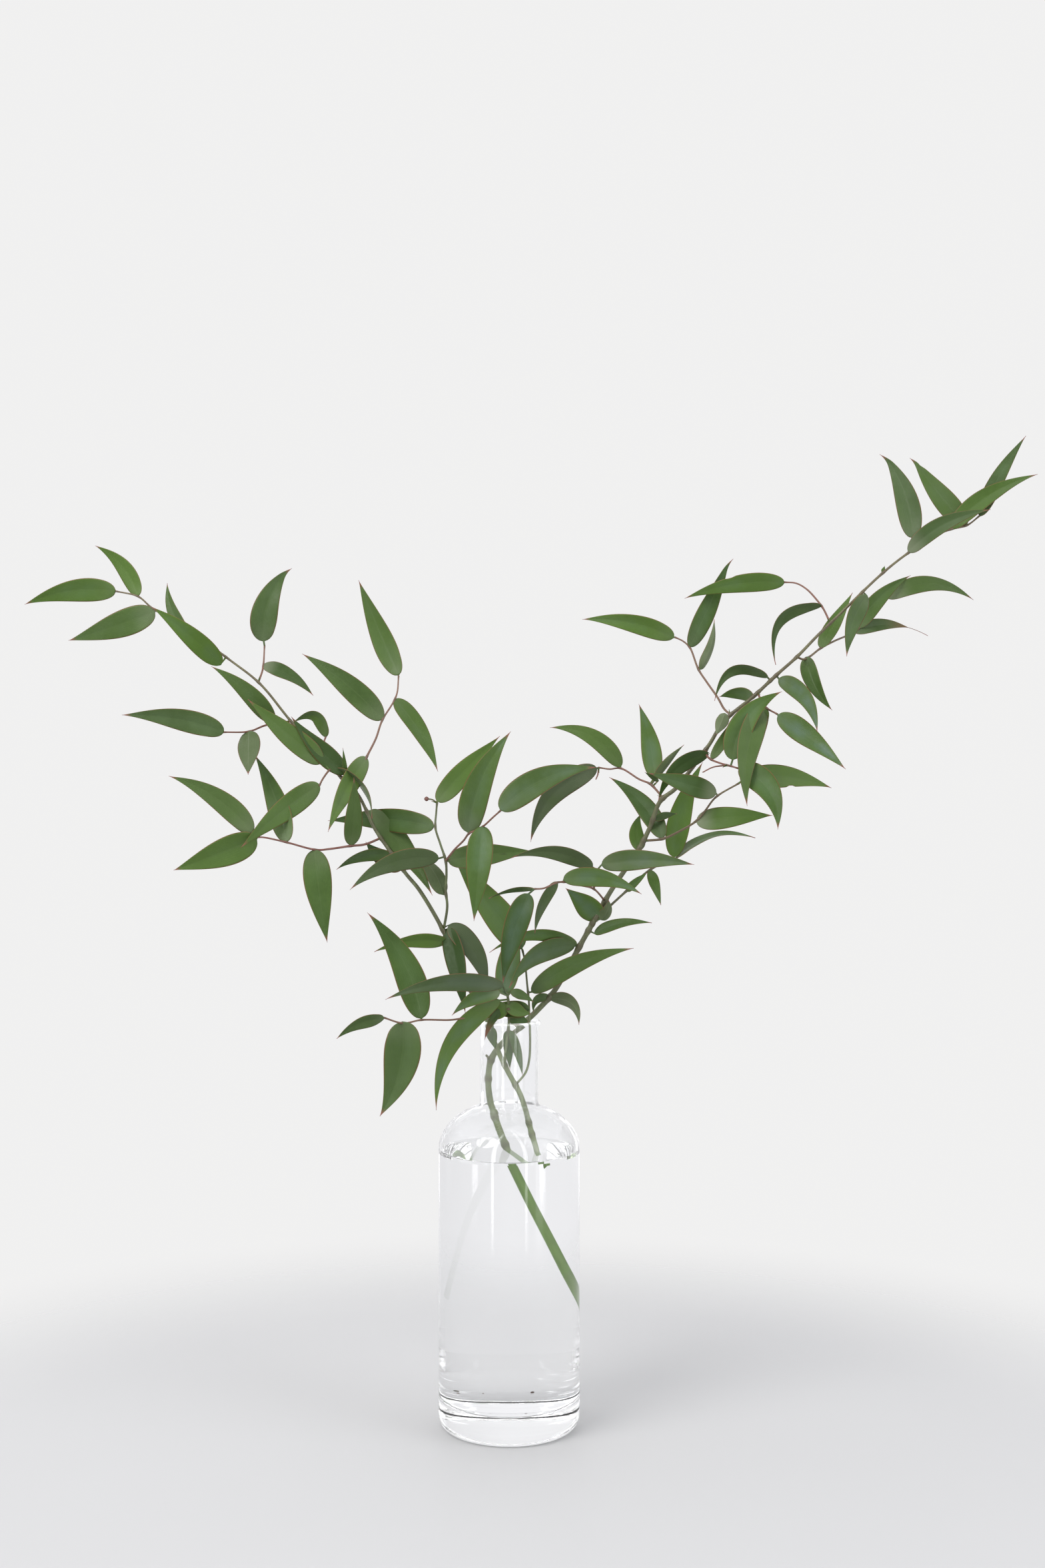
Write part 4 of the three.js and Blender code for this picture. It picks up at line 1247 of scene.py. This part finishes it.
def stem_material():
    """Streaky green, paler near the bottle, with brown knots and flecks. Side twigs are redder."""
    stem = Surface("stem")
    streak = stem.noise(260.0, 3.0, (1.0, 1.0, 0.18))
    fleck = stem.noise(900.0, 2.0)
    blotch = stem.noise(70.0, 2.0)
    fresh = stem.times(stem.span(streak, 0.35, 0.65), stem.span(blotch, 0.35, 0.6, 0.3, 1.0))
    colour = stem.mix(fresh, STEM_OLIVE, STEM_GREEN)
    pale = stem.times(stem.note("low"), stem.span(streak, 0.2, 0.6, 0.5, 0.9))
    colour = stem.mix(pale, colour, STEM_PALE)
    redness = stem.times(stem.note("pink"), stem.span(streak, 0.2, 0.8, 0.7, 1.0))
    colour = stem.mix(redness, colour, STEM_PINK)
    colour = stem.mix(stem.times(stem.note("knot"), 0.45), colour, STEM_BROWN)
    colour = stem.mix(stem.span(fleck, 0.62, 0.75, 0.0, 0.4), colour, STEM_BROWN)
    wetness = stem.times(stem.note("wet"), stem.span(blotch, 0.3, 0.6, 0.75, 1.0))
    colour = stem.mix(wetness, colour, STEM_WET)
    stem.set(Base_Color=colour, Roughness=stem.span(streak, 0.3, 0.7, 0.42, 0.6))
    stem.bump(stem.math("ADD", streak, stem.times(fleck, 0.4)), 0.4, 0.0002)
    return stem.material


def clear_material(name, ior, painted_glow, coat=0.0, streaks=0.05):
    """Glass or water with faint upright streaks and a faint painted glow. A coat reflects as glass does."""
    clear = Surface(name)
    clear.set(Base_Color=GLASS_TINT, Transmission_Weight=1.0, IOR=ior)
    # Painted light: the glass or water glows faintly, which brightens parts that would look too dark
    clear.set(Emission_Color=(1.0, 1.0, 1.0), Emission_Strength=painted_glow)
    clear.set(Coat_Weight=coat, Coat_Roughness=0.0, Coat_IOR=GLASS_IOR)
    clear.set(Roughness=clear.span(clear.noise(30.0), 0.45, 0.8, 0.0, 0.025))
    clear.bump(clear.noise(48.0, 1.5, (1.0, 1.0, 0.05)), streaks, 0.0006)
    return clear.material


def unseen_material():
    """Where water and glass meet, because the outside of the glass already bends the light there."""
    unseen = Surface("wetted_side")
    tint = unseen.mix(unseen.noise(8.0), (0.9, 0.95, 0.96), (0.96, 0.98, 0.98))
    unseen.set(Base_Color=tint, Alpha=0.0, IOR=1.0, Roughness=0.0, Specular_IOR_Level=0.0)
    return unseen.material


def floor_material():
    """A plain pale floor that fades out into the room."""
    floor = Surface("floor")
    away = floor.new("ShaderNodeVectorMath", operation="LENGTH")
    floor.feed(away.inputs[0], floor.place)
    near, far = [reach * METRE for reach in FLOOR_FADE]
    tint = floor.mix(floor.noise(2.5), (0.56, 0.56, 0.565), (0.59, 0.592, 0.598))
    floor.set(Base_Color=tint, Roughness=0.55, Specular_IOR_Level=0.25)
    floor.set(Alpha=floor.span(away.outputs["Value"], near, far, 1.0, 0.0))
    return floor.material


def make_floor():
    """A round floor under the bottle."""
    skin = Skin()
    rings = []
    for radius in FLOOR_RINGS:
        rings.append([skin.add_point(around(radius, angle)) for angle in circle(FLOOR_SIDES)])
    skin.add_face(rings[0])
    for ring, following in zip(rings, rings[1:]):
        skin.join(following, ring)
    floor = skin.finish("floor", [floor_material()])
    floor.location.y = -FLOOR_FORWARD * METRE


def make_world():
    """A pale room all round, plain where the camera sees it. Gloss also shows bands, as of windows."""
    world = bpy.data.worlds.new("studio")
    bpy.context.scene.world = world
    room = Nodes(world)
    way = room.new("ShaderNodeSeparateXYZ")
    room.feed(way.inputs[0], room.new("ShaderNodeTexCoord").outputs["Generated"])
    x, y, z = way.outputs
    shades = room.mix(1.0, room.ramp(z, ROOM_UPWARDS), room.ramp(x, ROOM_RIGHTWARDS), "MULTIPLY")
    stops = [(0.0, 0.0)]
    for degrees, half_degrees, grey in WINDOW_BANDS:
        middle = 0.5 + degrees / 360
        half = half_degrees / 360
        fade = BAND_FADE * half
        stops += [(middle - fade, 0.0), (middle - half, grey), (middle + half, grey), (middle + fade, 0.0)]
    bearing = room.math("ARCTAN2", x, room.times(y, -1.0))
    turn = room.math("MULTIPLY_ADD", bearing, 0.5 / math.pi, 0.5)
    ray = room.new("ShaderNodeLightPath").outputs
    windows = room.mix(1.0, room.ramp(turn, stops), ray["Is Glossy Ray"], "MULTIPLY")
    lit = room.mix(1.0, shades, windows, "ADD")
    background = room.tree.nodes["Background"].inputs
    room.feed(background["Color"], room.mix(ray["Is Camera Ray"], lit, ROOM_COLOUR))
    room.feed(background["Strength"], ROOM_STRENGTH)


def make_lamp(name, place, power, colour):
    """A round soft lamp that is itself unseen, also through clear things."""
    light = bpy.data.lights.new(name, "AREA")
    light.shape = "DISK"
    light.size = LAMP_SIZE * METRE
    light.energy = power
    light.color = colour
    lamp = bpy.data.objects.new(name, light)
    lamp.location = Vector(place) * METRE
    lamp.rotation_euler = (Vector(LAMP_AIM) - Vector(place)).to_track_quat("-Z", "Y").to_euler()
    lamp.visible_camera = False
    lamp.visible_transmission = False
    bpy.context.scene.collection.objects.link(lamp)


def make_camera():
    """A level camera at the viewpoint."""
    lens = bpy.data.cameras.new("camera")
    lens.lens = LENS
    lens.sensor_width = SENSOR
    camera = bpy.data.objects.new("camera", lens)
    camera.location = VIEWPOINT * METRE
    camera.rotation_euler = (math.pi / 2, 0.0, 0.0)
    bpy.context.scene.collection.objects.link(camera)
    bpy.context.scene.camera = camera


def follow_light():
    """Follows light through more reflections and crossings than usual, as clear glass needs."""
    limits = bpy.context.scene.cycles
    limits.max_bounces = CROSSINGS
    limits.transmission_bounces = CROSSINGS
    limits.transparent_max_bounces = CROSSINGS
    limits.glossy_bounces = REFLECTIONS


def carry(piece, node=None):
    """Ties a piece to the part's body, in place of a node where one is given."""
    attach(piece, "root")
    if node:
        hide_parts(node)


# Branches
leaf_draws = drawing(DRAW_SEED)
fine_draws = drawing(FINE_SEED)
leaf_finish = leaf_material()
stem_finish = stem_material()
for side_name, side_twigs in (("left", LEFT_BRANCH), ("right", RIGHT_BRANCH)):
    leaves = Skin("across", "along", "face", "tone_and_painted_light", "pale", "painted_sheen", "dull", "red", "spot")
    stems = Skin("knot", "pink", "low", "wet")
    add_branch(side_twigs, leaves, stems, leaf_draws, fine_draws)
    if side_name == "left":
        add_bud(stems)
        add_bead(stems, seen(WITHERED_BUD), WITHERED_RADII, knot=1.0, pink=0.5)
    carry(leaves.finish(side_name + "_leaves", [leaf_finish]), side_name + "_branch")
    carry(stems.finish(side_name + "_stems", [stem_finish]), side_name + "_branch")

# Bottle
unseen_finish = unseen_material()
bottle_finishes = {
    "thick": clear_material("thick_glass", GLASS_IOR, THICK_PAINTED_GLOW),
    "under_water": clear_material("glass_under_water", GLASS_IOR / WATER_IOR, THICK_PAINTED_GLOW),
    "dry": clear_material("dry_wall", DRY_IOR, DRY_PAINTED_GLOW, 1.0),
    "body": clear_material("wet_wall", WATER_IOR, WET_PAINTED_GLOW, 0.5),
    "wetted": unseen_finish,
    # The lip glows most: a painted highlight that makes it a white rim
    "lip": clear_material("lip_glass", DRY_IOR, LIP_PAINTED_GLOW, 1.0),
}
carry(make_bottle(bottle_finishes), "bottle")

# Water, which is left out of the reflections in the glass
water_finishes = {
    "surface": clear_material("water_surface", SURFACE_IOR, WET_PAINTED_GLOW, streaks=0.02),
    "side": unseen_finish,
}
water = make_water(water_finishes)
water.visible_glossy = False
carry(water, "water")

# Crumbs and drops
carry(make_crumbs(stem_finish, fine_draws))
splash_finish = clear_material("splash", WATER_IOR, WET_PAINTED_GLOW, 0.6, streaks=0.0)
carry(make_splashes(splash_finish, fine_draws))

# Floor, room, lamps and camera
make_floor()
make_world()
for lamp_row in LAMPS:
    make_lamp(*lamp_row)
make_camera()
follow_light()
bpy.context.scene.view_settings.view_transform = "Standard"
